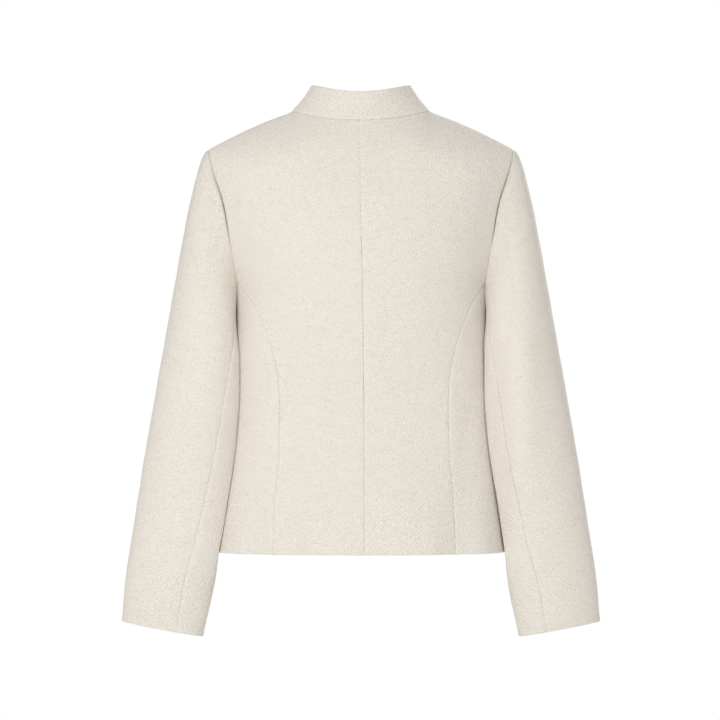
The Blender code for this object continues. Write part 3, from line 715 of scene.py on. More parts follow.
def edge_distances(grid):
    """Distances along the cloth from a grid's first and last column and first and last row."""
    across = grown(np.linalg.norm(np.diff(grid, axis=1), axis=-1))
    up = grown(np.linalg.norm(np.diff(grid, axis=0), axis=-1).T).T
    return across, across[:, -1:] - across, up, up[-1:] - up


def turned(distance, radius):
    """How far a folded edge drops as the cloth turns over it."""
    near = np.clip(distance / radius, 0, 1)
    return radius * (1 - np.sqrt(1 - (1 - near) ** 2))


def strip(distance, width):
    """1 on a strip beside an edge, falling off just past its width."""
    return 1 - ramp((distance - width) / STRIP_EDGE)


def sew(node, side, cut, edges, cloth=CLOTH):
    """A closed wall of cloth from the outer face that a piece is cut to.

    Edges are its first and last column and its first and last row: each is a seam, a fold with a
    hem inside it, the edge of the front or a plain edge.
    """
    sewing = bpy.context.scene.jacket_sewing
    outer, ways = cut.outer, cut.ways
    distances = edge_distances(outer)
    for edge, shared in cut.meeting.items():
        nearness = np.exp(-(distances[edge] / MEETING_WIDTH) ** 2)[..., None]
        shared = shared[:, None] if edge < FIRST_ROW else shared[None, :]
        ways = unit(ways * (1 - nearness) + shared * nearness)
    drop, back_drop = np.zeros((2, *outer.shape[:2]))
    thick = np.full(outer.shape[:2], cloth)
    nearest = np.full(outer.shape[:2], np.inf)
    drawn = outer.copy()
    for number, kind in enumerate(edges):
        distance = distances[number]
        draw_in(drawn, number, EDGE_PLAY[kind])
        if kind == "seam":
            run = distances[FIRST_COLUMN if number >= FIRST_ROW else FIRST_ROW]
            pucker = 1
            for strength, length, shift in PUCKERS:
                pucker = pucker + strength * np.sin(run / length + shift)
            valley = sewing.valley * pucker * np.exp(-(distance / sewing.valley_width) ** 2)
            drop = drop + turned(distance, sewing.seam_turn) + valley
            thick = thick + sewing.allowance_lift * strip(distance, sewing.allowance)
            nearest = np.minimum(nearest, distance)
        else:
            drop = drop + turned(distance, sewing.edge_turn)
            back_drop = back_drop + turned(distance, sewing.edge_turn * BACK_TURN)
        if kind == "fold":
            thick = thick + sewing.hem_lift * strip(distance, sewing.hem)
    whole = cut.lift + unevenness(outer)
    front = drawn + ways * (whole - np.minimum(drop, cloth - LEAST_CLOTH))[..., None]
    behind = drawn + ways * (whole - (np.maximum(thick, cloth) - back_drop))[..., None]
    # Mask of the painted highlight: 1 at the nearest seam, falling off away from it
    pressed = np.exp(-nearest / SEAM_HIGHLIGHT_WIDTH)
    return wall(f"{node}_cloth", side, front, behind, cut.grain, pressed)


def sew_on(node, side, cut, edges, cloth=CLOTH):
    """Sews a piece that stands for its node and rides on the jacket; the size of the sheet it was cut
    from is worked out but not used.
    """
    outer = cut.outer
    across, _, up, _ = edge_distances(outer)
    cells = np.cross(outer[1:, 1:] - outer[:-1, :-1], outer[1:, :-1] - outer[:-1, 1:])
    area = float(np.linalg.norm(cells, axis=-1).sum() / 2)
    width = round(float(across[:, -1].max()), 3)
    length = round(float(up[-1].max()), 3)
    area = round(min(max(area, LEAST_SHEET * width * length), width * length), 4)
    piece = sew(node, side, cut, edges, cloth)
    piece.data.materials.append(bpy.data.materials["tweed"])
    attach(piece, "root")
    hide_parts(node)


def draw_in(points, number, distance):
    """Draws one edge of a grid back towards the line inside it."""
    edge = (np.s_[:, 0], np.s_[:, -1], np.s_[0], np.s_[-1])[number]
    inside = (np.s_[:, 1], np.s_[:, -2], np.s_[1], np.s_[-2])[number]
    along = unit(np.gradient(points[edge], axis=0))
    inward = points[inside] - points[edge]
    square = unit(inward - along * np.sum(inward * along, axis=-1, keepdims=True))
    points[edge] = points[edge] + distance * square


def wall(name, side, outer, inner, grain, beside_seam):
    """The mesh between two grids, mirrored where its side is the right, with its grain as UVs."""
    count = outer[..., 0].size
    points = np.concatenate([outer.reshape(-1, 3), inner.reshape(-1, 3)])
    points[:, 1] -= FORWARD_BOW * points[:, 0] ** 2
    points[:, 0] *= side
    number = np.arange(count).reshape(outer.shape[:2])
    corners = [number[:-1, :-1], number[:-1, 1:], number[1:, 1:], number[1:, :-1]]
    quads = np.stack(corners, axis=-1).reshape(-1, 4)
    rim = np.concatenate([number[0, :], number[1:, -1], number[-1, -2::-1], number[-2:0:-1, 0]])
    onward = np.roll(rim, -1)
    faces = np.concatenate([quads, quads[:, ::-1] + count,
                            np.stack([onward, rim, rim + count, onward + count], axis=-1)])
    mesh = bpy.data.meshes.new(name)
    mesh.from_pydata(points.tolist(), [], faces.tolist())
    uv = np.concatenate([grain.reshape(-1, 2)] * 2)
    order = np.array([loop.vertex_index for loop in mesh.loops])
    mesh.uv_layers.new(name="grain").data.foreach_set("uv", uv[order].ravel())
    # Stores the mask of the painted highlight beside the seams
    pressed = mesh.attributes.new("beside_seam", "FLOAT", "POINT")
    pressed.data.foreach_set("value", np.concatenate([beside_seam.ravel()] * 2))

    shape = bmesh.new()
    shape.from_mesh(mesh)
    bmesh.ops.recalc_face_normals(shape, faces=shape.faces)
    shape.to_mesh(mesh)
    shape.free()
    mesh.shade_smooth()
    mesh.set_sharp_from_angle(angle=SHARP_EDGE)
    piece = bpy.data.objects.new(name, mesh)
    bpy.context.collection.objects.link(piece)
    return piece


def first_row_facing(surface, places):
    """Ways in which a surface faces along its first row."""
    rows = np.array([[0.0], [0.5]])
    return facing(surface, places + 0 * rows, rows + 0 * places, -1)[0]


def towards(ways, aim):
    """Ways turned round where they look away from an aim."""
    return ways * np.sign(np.sum(ways * aim, axis=-1, keepdims=True))


def between(first_ways, first_inward, second_ways, second_inward):
    """The way out of the valley where two pieces meet at an angle."""
    return unit(first_ways + second_ways + unit(first_inward) + unit(second_inward))


def armhole_meeting(side, angle):
    """The way out of the seam between the body and the sleeve, round the armhole."""
    def sleeve(turn, along):
        return sleeve_place(side, turn, along)

    edge, body_way = armhole_edge(angle)
    start = np.zeros_like(angle)
    sleeve_way = first_row_facing(sleeve, angle)
    round_it = unit(armhole_edge(angle + STEP)[0] - armhole_edge(angle - STEP)[0])
    into_body = towards(np.cross(body_way, round_it), ARMHOLE_MIDDLE * UPRIGHT - edge)
    onward = sleeve(angle, start + SHORT_WAY) - sleeve(angle, start)
    into_sleeve = towards(np.cross(sleeve_way, round_it), onward)
    return between(body_way, into_body, sleeve_way, into_sleeve)


def sleeve_head(points):
    """How far the seam allowances inside the armhole fill the valley between body and sleeve."""
    sewing = bpy.context.scene.jacket_sewing
    angle = 2 * math.pi * spread(ARMHOLE_STEPS)
    edge = armhole_edge(angle)[0]
    rise = sewing.sleeve_head * np.sin(angle) ** 2
    gaps = np.stack([np.linalg.norm(row[:, None] - edge, axis=-1) for row in points])
    nearest = gaps.argmin(axis=-1)
    return rise[nearest] * np.exp(-(gaps.min(axis=-1) / sewing.sleeve_head_width) ** 2)


def neckline_meeting(around):
    """The way out of the seam between the body and the collar, round the neck."""
    body_way = neckline_facing(around)
    base = np.zeros_like(around)
    collar_way = first_row_facing(collar_place, around)
    edge = collar_place(around, base)
    upward = collar_place(around, base + SHORT_WAY) - edge
    ahead = collar_place(np.minimum(around + STEP, 1), base)
    round_it = unit(ahead - collar_place(np.maximum(around - STEP, -1), base))
    into_body = towards(np.cross(body_way, round_it), edge * IN_PLAN)
    return between(body_way, into_body, collar_way, upward)


def places_of(marks, steps):
    """Where in a list of steps its main marks lie."""
    return np.searchsorted(steps, marks - STEP)


def lay_grain(side, outer, ways, upward, rows, columns, row_marks, column_marks):
    """Flattens a piece to its pattern: metres across it to the right, as seen from outside, and up.

    The pattern's straight grain follows the upward direction as nearly as the curved form allows.
    """
    some_rows, some_columns = places_of(row_marks, rows), places_of(column_marks, columns)
    few = np.ix_(some_rows, some_columns)
    points, facings = outer[few], ways[few]
    up_way = unit(upward - facings * np.sum(facings * upward, axis=-1, keepdims=True))
    across_way = side * np.cross(up_way, facings)
    count = points.shape[0] * points.shape[1]
    number = np.arange(count).reshape(points.shape[:2])
    balance = np.zeros((count, count))
    pull = np.zeros((count, 2))
    for low, high in ((np.s_[:, :-1], np.s_[:, 1:]), (np.s_[:-1], np.s_[1:])):
        step = points[high] - points[low]
        stiffness = 1 / np.sum(step * step, axis=-1).ravel()
        wanted = np.stack([np.sum(step * (way[high] + way[low]) / 2, axis=-1).ravel()
                           for way in (across_way, up_way)], axis=-1) * stiffness[:, None]
        first, second = number[low].ravel(), number[high].ravel()
        np.add.at(balance, (first, first), stiffness)
        np.add.at(balance, (second, second), stiffness)
        np.add.at(balance, (first, second), -stiffness)
        np.add.at(balance, (second, first), -stiffness)
        np.add.at(pull, first, -wanted)
        np.add.at(pull, second, wanted)
    balance[0, 0] *= 2
    flat = np.linalg.solve(balance, pull).reshape(*points.shape[:2], 2)
    grain = np.empty((*outer.shape[:2], 2))
    for way in range(2):
        wide = np.array([np.interp(columns, columns[some_columns], line)
                         for line in flat[..., way]])
        grain[..., way] = np.array([np.interp(rows, rows[some_rows], line) for line in wide.T]).T
    return grain


def torso_cut(side, face, surface, columns, rows, coarse_columns, coarse_rows):
    """A panel of the body, laid out on one face, as yet with no meeting."""
    across, up = np.meshgrid(columns, rows)
    outer = surface(side, face, across, up)
    out, height = outer[..., 0], outer[..., 2]
    ways = torso_facing(side, face, out, height)
    lift = crease_depth(CREASES[face], side * out, height) + sleeve_head(outer)
    grain = lay_grain(side, outer, ways, UPRIGHT, rows, columns,
                      spread(GRAIN_FINER * coarse_rows), spread(GRAIN_FINER * coarse_columns))
    return Cut(outer, ways, grain, lift, {})


def main_panel(side, face):
    """A back or front panel, laid out for sewing."""
    columns = steps_with_edges(FINER * PANEL_COLUMNS, NEAR_SIDE, NEAR_SIDE)
    rows = steps_with_edges(FINER * PANEL_ROWS, NEAR_HEM, ())
    cut = torso_cut(side, face, panel_place, columns, rows, PANEL_COLUMNS, PANEL_ROWS)
    yoke = yoke_part(rows)
    at_armhole = armhole_meeting(side, own_angle(face, meeting_angle(face) * (1 - yoke)))
    share = np.clip(columns / NECK_SHARE, 0, 1) / 2
    at_neck = neckline_meeting(share if face == BACK else 1 - share)
    beside = np.where((yoke > 0)[:, None], at_armhole, cut.ways[:, -1])
    above = np.where((columns <= NECK_SHARE)[:, None], at_neck, cut.ways[-1])
    return cut._replace(meeting={LAST_COLUMN: beside, LAST_ROW: above})


def side_piece(side, face):
    """A side panel, laid out for sewing."""
    columns = steps_with_edges(FINER_SIDE * SIDE_COLUMNS, NEAR_SIDE, NEAR_SIDE)
    rows = steps_with_edges(FINER * SKIRT_ROWS, NEAR_HEM, NEAR_HEM)
    cut = torso_cut(side, face, side_place, columns, rows, SIDE_COLUMNS, SKIRT_ROWS)
    down = meeting_angle(face) + (math.pi - meeting_angle(face)) * columns
    return cut._replace(meeting={LAST_ROW: armhole_meeting(side, own_angle(face, down))})


def sleeve_piece(side, word, seams, middle, half_columns):
    """An upper or under sleeve between two seams, laid out for sewing."""
    columns = steps_with_edges(FINER_SLEEVE * half_columns, NEAR_SIDE, NEAR_SIDE)
    arm = 1 + steps_with_edges(FINER * ARM_ROWS, (), NEAR_CUFF)[1:]
    rows = np.unique(np.concatenate([spread(FINER * CAP_ROWS), arm, NEAR_SIDE]))
    across, along = np.meshgrid(columns, rows)

    def angle_at(over, down):
        first, last = (seam(down) for seam in seams)
        at_armhole = np.where(over < 0.5, middle + (first - middle) * (1 - 2 * over),
                              middle + (last - middle) * (2 * over - 1))
        share = ramp(down)
        return at_armhole * (1 - share) + (first + (last - first) * over) * share

    def surface(over, down):
        return sleeve_place(side, angle_at(over, down), down)

    outer = surface(across, along)
    ways = facing(surface, across, along, -1)
    angle = angle_at(across, along)
    creases = sleeve_crease_depth(word, angle, along)
    lift = creases * ramp((along - CREASE_START) / CREASE_GROWTH) + sleeve_head(outer)
    room = np.maximum(outer[..., 0] - torso_side(side, outer) - SLEEVE_ROOM, 0)
    lean = -ways[..., 0]
    held = np.minimum(lift, room / np.maximum(lean, LEAST_LEAN))
    lift = np.where((lean > LEAST_LEAN) & (lift > 0), held, lift)
    ends = sleeve_ring(np.zeros(2), np.array([1.0, 2.0]))
    marks = np.append(spread(GRAIN_FINER * CAP_ROWS), 1 + spread(GRAIN_FINER * ARM_ROWS)[1:])
    grain = lay_grain(side, outer, ways, unit(ends[0] - ends[1]), rows, columns,
                      marks, spread(2 * GRAIN_FINER * half_columns))
    return Cut(outer, ways, grain, lift, {FIRST_ROW: armhole_meeting(side, angle[0])})


def collar_piece():
    """The stand collar, laid out for sewing."""
    shares = steps_with_edges(FINER * COLLAR_COLUMNS, NEAR_COLLAR_END, NEAR_COLLAR_END)
    columns = 2 * shares - 1
    rows = steps_with_edges(FINER_COLLAR_ROWS * COLLAR_ROWS, NEAR_COLLAR_BASE, NEAR_COLLAR_TOP)
    around, up = np.meshgrid(columns, rows)
    outer = collar_place(around, up)
    ways = facing(collar_place, around, up, -1)
    grain = lay_grain(1, outer, ways, UPRIGHT, rows, columns,
                      spread(COLLAR_ROWS), 2 * spread(COLLAR_COLUMNS) - 1)
    return Cut(outer, ways, grain, 0.0 * up, {FIRST_ROW: neckline_meeting(columns)})


# Looks

class Level:
    """A number that changes over the cloth. Sums written with it become Math nodes."""

    def __init__(self, bench, socket):
        self.bench = bench
        self.socket = socket

    def worked(self, operation, *others):
        """What one Math node makes of this number and others."""
        made = self.bench.node("ShaderNodeMath", {"operation": operation},
                               dict(enumerate((self, *others))))
        return Level(self.bench, made.outputs[0])

    __add__ = partialmethod(worked, "ADD")
    __sub__ = partialmethod(worked, "SUBTRACT")
    __mul__ = partialmethod(worked, "MULTIPLY")
    __truediv__ = partialmethod(worked, "DIVIDE")
    floor = partialmethod(worked, "FLOOR")
    fraction = partialmethod(worked, "FRACT")
    sine = partialmethod(worked, "SINE")
    highest = partialmethod(worked, "MAXIMUM")
    lowest = partialmethod(worked, "MINIMUM")

    def __rsub__(self, other):
        return self * -1 + other

    def held(self, low, high):
        """The same number, kept between two others."""
        return self.highest(low).lowest(high)


class Bench:
    """Where the nodes of a material, or of the world, are made and joined."""

    def __init__(self, made, last):
        self.made = made
        made.use_nodes = True
        self.tree = made.node_tree
        self.last = self.tree.nodes[last]

    def node(self, kind, settings, inputs):
        """One node: its settings first, then the values or links of its sockets."""
        made = self.tree.nodes.new(kind)
        for name, value in settings.items():
            setattr(made, name, value)
        self.join(made, inputs)
        return made

    def join(self, made, inputs):
        """Sets a node's sockets to values, or links them to other nodes."""
        for name, value in inputs.items():
            if isinstance(value, Level):
                value = value.socket
            if isinstance(value, bpy.types.NodeSocket):
                self.tree.links.new(value, made.inputs[name])
            else:
                made.inputs[name].default_value = value

    def level(self, socket):
        return Level(self, socket)

    def noise(self, place, waves, detail, roughness):
        """The value and the colour of smooth random unevenness, with so many waves a metre."""
        made = self.node("ShaderNodeTexNoise", {"noise_dimensions": "2D"}, {
            "Vector": place, "Scale": waves, "Detail": detail, "Roughness": roughness})
        return made.outputs

    def blend(self, share, first, second):
        """A colour between two others."""
        made = self.node("ShaderNodeMix", {"data_type": "RGBA"}, {0: share, 6: first, 7: second})
        return made.outputs[2]

    def finish(self, values):
        """What was made, with the values and links of its last node set."""
        self.join(self.last, values)
        return self.made


def material_bench(name):
    return Bench(bpy.data.materials.new(name), "Principled BSDF")


def opaque(colour):
    return (*colour, 1.0)


# Unevenness of the tweed, each kind by its waves a metre, detail and roughness
DRIFT = (210.0, 2.0, 0.6)
CREPE = (330.0, 1.0, 0.5)
LOOPS = (800.0, 1.0, 0.5)
FIBRES = (2600.0, 2.0, 0.7)
PATCHES = (60.0, 2.0, 0.5)
SLUBS = (1.0, 1.0, 0.5)
SLUB_WAVES = (150.0, 760.0, 1.0)
SLUB_START, SLUB_GAIN = 0.66, 7
KNOTS = {"Scale": 480.0, "Randomness": 0.75}
KNOT_RADIUS = 0.4
LOOSEST, PATCH_CONTRAST, PATCH_SHIFT = 0.75, 1.6, 0.1
WEFT_SHARE = 0.55
TWILL_REPEAT = 4
# How much each of them adds to the cloth's height, and what that height does to its colour: painted
# shade in the hollows between the yarns, a painted highlight beside the seams and the pale slubs
FLOAT_LEVEL, FLOAT_RISE, RIB_RISE = 0.35, 0.30, 0.10
CREPE_RISE, KNOT_RISE, LOOP_RISE, FIBRE_RISE, SLUB_RISE = 0.15, 0.8, 0.8, 0.2, 0.2
HOLLOW_SHADE_SHARE, HOLLOW_SHADE_DEPTH, SEAM_HIGHLIGHT, SLUB_SHARE = 0.36, 0.17, 0.06, 0.5
ROUGHNESS, LOOP_SHINE = 0.98, 0.14


def twill(across, up, yarn):
    """The floats of a two-by-two twill, 0 to 1, and its diagonal ribs, -1 to 1."""
    warp, weft = across / yarn, up / yarn
    warp_round = (warp.fraction() * math.pi).sine()
    weft_round = (weft.fraction() * math.pi).sine()
    warp_float = (((weft + warp.floor()) / TWILL_REPEAT).fraction() * 2 * math.pi).sine()
    weft_float = (((warp + weft.floor()) / TWILL_REPEAT).fraction() * -2 * math.pi).sine()
    floats = (warp_round * warp_float).highest(weft_round * weft_float * WEFT_SHARE).highest(0.0)
    return floats, ((warp + weft) * (math.pi / 2)).sine()


def tweed_material():
    """Ivory tweed: a two-by-two twill of soft uneven yarns, knotty and napped, with pale slubs,
    painted shade in its hollows and a painted highlight beside its seams.
    """
    cloth = bpy.context.scene.jacket_cloth
    bench = material_bench("tweed")
    grain = bench.node("ShaderNodeUVMap", {"uv_map": "grain"}, {}).outputs[0]

    def uneven(kind, place=grain):
        return bench.level(bench.noise(place, *kind)[0])

    drift = bench.noise(grain, *DRIFT)["Color"]
    shift = bench.node("ShaderNodeSeparateColor", {}, {0: drift})
    place = bench.node("ShaderNodeSeparateXYZ", {}, {0: grain})
    across, up = (bench.level(place.outputs[way])
                  + (bench.level(shift.outputs[way]) - 0.5) * cloth.waver for way in range(2))
    floats, ribs = twill(across, up, cloth.yarn)

    loops = uneven(LOOPS)
    knots = bench.node("ShaderNodeTexVoronoi", {"voronoi_dimensions": "2D", "feature": "F1"},
                       {"Vector": grain, **KNOTS})
    knobs = KNOT_RADIUS - bench.level(knots.outputs["Distance"])
    firmness = (uneven(PATCHES) * PATCH_CONTRAST - PATCH_SHIFT).held(LOOSEST, 1.0)
    long_way = bench.node("ShaderNodeMapping", {"vector_type": "POINT"},
                          {"Vector": grain, "Scale": SLUB_WAVES}).outputs[0]
    slubs = ((uneven(SLUBS, long_way) - SLUB_START) * SLUB_GAIN).held(0.0, 1.0)
    height = (((floats - FLOAT_LEVEL) * FLOAT_RISE + ribs * RIB_RISE) * firmness
              + (uneven(CREPE) - 0.5) * CREPE_RISE + knobs * KNOT_RISE
              + (loops - 0.5) * LOOP_RISE + (uneven(FIBRES) - 0.5) * FIBRE_RISE
              + slubs * SLUB_RISE)

    # Painted highlight: the cloth beside the seams is painted paler, as if its raised edges caught
    # the light
    seam = bench.node("ShaderNodeAttribute", {"attribute_name": "beside_seam"}, {}).outputs["Fac"]
    pale = bench.level(seam) * SEAM_HIGHLIGHT
    # Painted shade: where the weave is low, the colour is drawn towards the hollow colour to stand
    # for the shade between the yarns
    shade = (HOLLOW_SHADE_SHARE - height * HOLLOW_SHADE_DEPTH - pale).held(0.0, 1.0)
    colour = bench.blend(shade, opaque(cloth.yarn_colour), opaque(cloth.hollow_shade_colour))
    colour = bench.blend(slubs * SLUB_SHARE, colour, opaque(cloth.slub_colour))
    bump = bench.node("ShaderNodeBump", {},
                      {"Strength": 1.0, "Distance": cloth.relief, "Height": height})
    return bench.finish({
        "Base Color": colour,
        "Roughness": (ROUGHNESS - loops * LOOP_SHINE).held(0.0, 1.0),
        "Normal": bump.outputs[0],
        "Specular IOR Level": 0.25,
        "Sheen Weight": cloth.nap,
        "Sheen Roughness": 0.55,
        "Sheen Tint": opaque(cloth.slub_colour),
    })


# The wire's wear, in waves a metre, and the roughness and colour between which it goes
WEAR = {"Scale": 900.0, "Detail": 3.0}
WIRE_SMOOTH, WIRE_ROUGH = 0.22, 0.47
WIRE_DARK, WIRE_PALE = (0.50, 0.48, 0.45), (0.66, 0.64, 0.60)


def wire_material():
    """Satin nickel wire, a little dulled where it is handled."""
    bench = material_bench("hook_wire")
    place = bench.node("ShaderNodeTexCoord", {}, {}).outputs["Object"]
    wear = bench.node("ShaderNodeTexNoise", {}, {"Vector": place, **WEAR})
    amount = bench.level(wear.outputs[0])
    colour = bench.blend(amount, opaque(WIRE_DARK), opaque(WIRE_PALE))
    roughness = amount * (WIRE_ROUGH - WIRE_SMOOTH) + WIRE_SMOOTH
    return bench.finish({"Base Color": colour, "Roughness": roughness, "Metallic": 1.0})


def floor_material():
    """The matt white of the floor."""
    return material_bench("floor").finish({"Base Color": opaque(FLOOR_WHITE), "Roughness": 0.9})


# What a user would change

class JacketCloth(bpy.types.PropertyGroup):
    """The tweed's yarns and colours."""

    yarn: FloatProperty(
        name="Yarn", description="Width of one yarn of the weave",
        default=1.25 * MM, min=0.3 * MM, unit="LENGTH", precision=5)
    waver: FloatProperty(
        name="Waver", description="How far the uneven yarns stray from straight",
        default=1.1 * MM, min=0.0, unit="LENGTH", precision=5)
    relief: FloatProperty(
        name="Relief", description="Height of the yarns over the hollows between them",
        default=1.0 * MM, min=0.0, unit="LENGTH", precision=5)
    nap: FloatProperty(
        name="Nap", description="How much light the raised fibres catch",
        default=0.2, min=0.0, max=1.0, subtype="FACTOR")
    yarn_colour: FloatVectorProperty(
        name="Yarn colour", description="Colour of the yarns", subtype="COLOR", size=3,
        default=(0.878, 0.837, 0.769), min=0.0, max=1.0)
    # Painted shade: the darker colour painted into the hollows between the yarns, where shade falls
    hollow_shade_colour: FloatVectorProperty(
        name="Hollow colour", description="Colour between the yarns", subtype="COLOR", size=3,
        default=(0.70, 0.627, 0.526), min=0.0, max=1.0)
    slub_colour: FloatVectorProperty(
        name="Slub colour", description="Colour of the thick soft slubs", subtype="COLOR", size=3,
        default=(0.925, 0.90, 0.85), min=0.0, max=1.0)


class JacketSewing(bpy.types.PropertyGroup):
    """How the seams and edges are made."""

    seam_turn: FloatProperty(
        name="Seam turn", description="Radius over which the cloth turns into a seam",
        default=0.5 * MM, min=0.0, unit="LENGTH", precision=5)
    edge_turn: FloatProperty(
        name="Edge turn", description="Radius of the folded hem, cuffs, collar and front edges",
        default=1.5 * MM, min=0.1 * MM, unit="LENGTH", precision=5)
    valley: FloatProperty(
        name="Valley", description="How far the cloth dips beside a pressed seam",
        default=0.5 * MM, min=0.0, unit="LENGTH", precision=5)
    valley_width: FloatProperty(
        name="Valley width", description="How far from the seam that dip reaches",
        default=2.2 * MM, min=0.5 * MM, unit="LENGTH", precision=5)
    allowance: FloatProperty(
        name="Seam allowance", description="Width of the cloth pressed open inside a seam",
        default=12 * MM, min=0.0, unit="LENGTH", precision=5)
    allowance_lift: FloatProperty(
        name="Allowance lift", description="How far the seam allowance stands off the inside",
        default=0.8 * MM, min=0.0, unit="LENGTH", precision=5)
    sleeve_head: FloatProperty(
        name="Sleeve head", description="How far the allowances fill the valley round the armhole",
        default=5.0 * MM, min=0.0, unit="LENGTH", precision=5)
    sleeve_head_width: FloatProperty(
        name="Sleeve head width", description="How far from the armhole seam that filling reaches",
        default=16 * MM, min=1 * MM, unit="LENGTH", precision=5)
    hem: FloatProperty(
        name="Hem", description="Depth of the turned-up hem and cuffs",
        default=30 * MM, min=0.0, unit="LENGTH", precision=5)
    hem_lift: FloatProperty(
        name="Hem lift", description="How far the turned-up cloth stands off the inside",
        default=1.0 * MM, min=0.0, unit="LENGTH", precision=5)


class JacketStudio(bpy.types.PropertyGroup):
    """The floor, the lights and the camera."""

    floor_height: FloatProperty(
        name="Floor height", description="Height of the floor under a standing wearer",
        default=-1.35, unit="LENGTH")
    key_power: FloatProperty(
        name="Key light", description="Power of the large soft light",
        default=46.5, min=0.0, unit="POWER")
    fill_power: FloatProperty(
        name="Fill light", description="Power of the soft light on the other side",
        default=16.5, min=0.0, unit="POWER")
    front_power: FloatProperty(
        name="Front light", description="Power of the soft light in front of the jacket",
        default=75.0, min=0.0, unit="POWER")
    room_light: FloatProperty(
        name="Room light", description="Brightness of the even light from all round",
        default=0.66, min=0.0)
    camera_distance: FloatProperty(
        name="Camera distance", description="Distance of the camera behind the jacket",
        default=6.0, min=0.5, unit="LENGTH")
    frame_width: FloatProperty(
        name="Frame width", description="Width that the camera sees at the jacket",
        default=0.878, min=0.1, unit="LENGTH")


# The steps of making the jacket

class JACKET_OT_materials(bpy.types.Operator):
    """Mixes the tweed and the wire's finish"""

    bl_idname = "jacket.materials"
    bl_label = "Materials"

    def execute(self, context):
        tweed_material()
        wire_material()
        return {"FINISHED"}


class JACKET_OT_main_panels(bpy.types.Operator):
    """Cuts and sews on the back and front panels"""

    bl_idname = "jacket.main_panels"
    bl_label = "Back and front panels"

    def execute(self, context):
        for word, side in SIDES.items():
            for place, face in FACES.items():
                edges = ("seam" if face == BACK else "front", "seam", "fold", "seam")
                sew_on(f"{place}_{word}", side, main_panel(side, face), edges)
        return {"FINISHED"}


class JACKET_OT_side_panels(bpy.types.Operator):
    """Cuts and sews on the four side panels"""

    bl_idname = "jacket.side_panels"
    bl_label = "Side panels"

    def execute(self, context):
        for word, side in SIDES.items():
            for place, face in FACES.items():
                edges = ("seam", "seam", "fold", "seam")
                sew_on(f"side_{place}_{word}", side, side_piece(side, face), edges)
        return {"FINISHED"}


class JACKET_OT_sleeves(bpy.types.Operator):
    """Cuts the two-piece sleeves and sets them into the armholes"""

    bl_idname = "jacket.sleeves"
    bl_label = "Sleeves"

    def execute(self, context):
        def fore_seam_before(down):
            return FORE_SEAM(down) - 2 * math.pi

        halves = {"upper_sleeve": ((fore_seam_before, HIND_SEAM), 0.0, YOKE_ROWS),
                  "under_sleeve": ((HIND_SEAM, FORE_SEAM), math.pi, SIDE_COLUMNS)}
        for word, side in SIDES.items():
            for half, cutting in halves.items():
                cut = sleeve_piece(side, word, *cutting)
                sew_on(f"{half}_{word}", side, cut, ("seam", "seam", "seam", "fold"))
        return {"FINISHED"}


class JACKET_OT_collar(bpy.types.Operator):
    """Makes the stand collar and sews it to the neckline"""

    bl_idname = "jacket.collar"
    bl_label = "Collar"

    def execute(self, context):
        sew_on("collar", 1, collar_piece(), ("front", "front", "seam", "edge"),
               COLLAR_CLOTH)
        return {"FINISHED"}


class JACKET_OT_fastenings(bpy.types.Operator):
    """Gives the concealed hooks and eyes their metal"""

    bl_idname = "jacket.fastenings"
    bl_label = "Hooks and eyes"

    def execute(self, context):
        for name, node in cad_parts.items():
            if name.startswith(("hook_", "eye_")):
                for slot in node.material_slots:
                    slot.material = bpy.data.materials["hook_wire"]
        return {"FINISHED"}


# Where each light stands and how wide it is
LIGHTS = {
    "key": ((1.5, 3.2, 0.7), 0.8),
    "fill": ((-0.9, 3.5, 0.2), 1.8),
    "front": ((-1.2, -3.4, 0.9), 1.4),
}
LIGHTS_AIM = (0, 0, -0.30)
FLOOR_RADIUS = 2.4
CAMERA_OUT, CAMERA_HEIGHT = 1.2 * MM, -304 * MM
CAMERA_NEARER = 0.02
SENSOR = 36.0
ROOM_TINT, WHITE, FLOOR_WHITE = (1.0, 0.995, 0.99), (1.0, 1.0, 1.0), (0.92, 0.915, 0.905)


class JACKET_OT_studio(bpy.types.Operator):
    """Lays the floor and sets up the lights and the camera"""

    bl_idname = "jacket.studio"
    bl_label = "Studio"

    def execute(self, context):
        studio = context.scene.jacket_studio
        bpy.ops.object.select_all(action="DESELECT")
        bpy.ops.mesh.primitive_circle_add(vertices=96, radius=FLOOR_RADIUS, fill_type="NGON",
                                          location=(0, 0, studio.floor_height))
        floor = context.object
        floor.name = "floor"
        bpy.ops.object.transform_apply(location=True, rotation=False, scale=False)
        floor.data.materials.append(floor_material())

        for name, (place, size) in LIGHTS.items():
            light = bpy.data.lights.new(name, "AREA")
            light.size = size
            light.energy = getattr(studio, f"{name}_power")
            stand(name, light, Vector(place), Vector(LIGHTS_AIM) - Vector(place))
        context.scene.world = room_light(studio.room_light)

        camera = bpy.data.cameras.new("camera")
        camera.sensor_width = SENSOR
        camera.lens = SENSOR * (studio.camera_distance - CAMERA_NEARER) / studio.frame_width
        eye = Vector((CAMERA_OUT, studio.camera_distance, CAMERA_HEIGHT))
        context.scene.camera = stand("camera", camera, eye, Vector((0, -1, 0)))
        context.scene.view_settings.view_transform = "Standard"
        return {"FINISHED"}


def stand(name, data, place, way):
    """Stands a light or the camera at a place, looking one way."""
    made = bpy.data.objects.new(name, data)
    made.location = place
    made.rotation_euler = way.to_track_quat("-Z", "Y").to_euler()
    bpy.context.collection.objects.link(made)
    return made


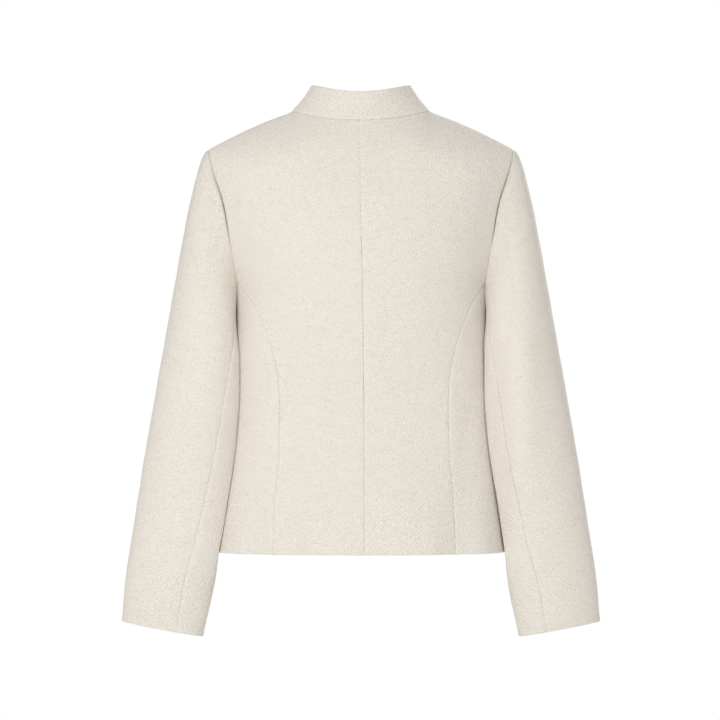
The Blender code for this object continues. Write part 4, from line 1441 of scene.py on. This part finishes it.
def room_light(strength):
    """Even light from all round, which looks white to the camera."""
    bench = Bench(bpy.data.worlds.new("room"), "World Output")
    even = bench.node("ShaderNodeBackground", {}, {
        "Color": opaque(ROOM_TINT), "Strength": strength})
    seen = bench.node("ShaderNodeBackground", {}, {"Color": opaque(WHITE)})
    path = bench.node("ShaderNodeLightPath", {}, {})
    mix = bench.node("ShaderNodeMixShader", {}, {
        0: path.outputs["Is Camera Ray"], 1: even.outputs[0], 2: seen.outputs[0]})
    return bench.finish({"Surface": mix.outputs[0]})


class JACKET_PT_making(bpy.types.Panel):
    """The steps of making the jacket and their sizes"""

    bl_idname = "JACKET_PT_making"
    bl_label = "Tweed jacket"
    bl_space_type = "VIEW_3D"
    bl_region_type = "UI"
    bl_category = "Jacket"

    def draw(self, context):
        for step in STEPS:
            self.layout.operator(step.bl_idname)
        for title, group in (("Cloth", "jacket_cloth"), ("Sewing", "jacket_sewing"),
                             ("Studio", "jacket_studio")):
            box = self.layout.box()
            box.label(text=title)
            settings = getattr(context.scene, group)
            for name in settings.__annotations__:
                box.prop(settings, name)


STEPS = (JACKET_OT_materials, JACKET_OT_main_panels, JACKET_OT_side_panels, JACKET_OT_sleeves,
         JACKET_OT_collar, JACKET_OT_fastenings, JACKET_OT_studio)
GROUPS = {"jacket_cloth": JacketCloth, "jacket_sewing": JacketSewing,
          "jacket_studio": JacketStudio}


def register():
    for group in GROUPS.values():
        bpy.utils.register_class(group)
    for name, group in GROUPS.items():
        setattr(bpy.types.Scene, name, PointerProperty(type=group))
    for step in (*STEPS, JACKET_PT_making):
        bpy.utils.register_class(step)


def unregister():
    for step in (JACKET_PT_making, *reversed(STEPS)):
        bpy.utils.unregister_class(step)
    for name, group in GROUPS.items():
        delattr(bpy.types.Scene, name)
        bpy.utils.unregister_class(group)


def main():
    register()
    bpy.ops.jacket.materials()
    bpy.ops.jacket.main_panels()
    bpy.ops.jacket.side_panels()
    bpy.ops.jacket.sleeves()
    bpy.ops.jacket.collar()
    bpy.ops.jacket.fastenings()
    bpy.ops.jacket.studio()


if __name__ == "__main__":
    main()
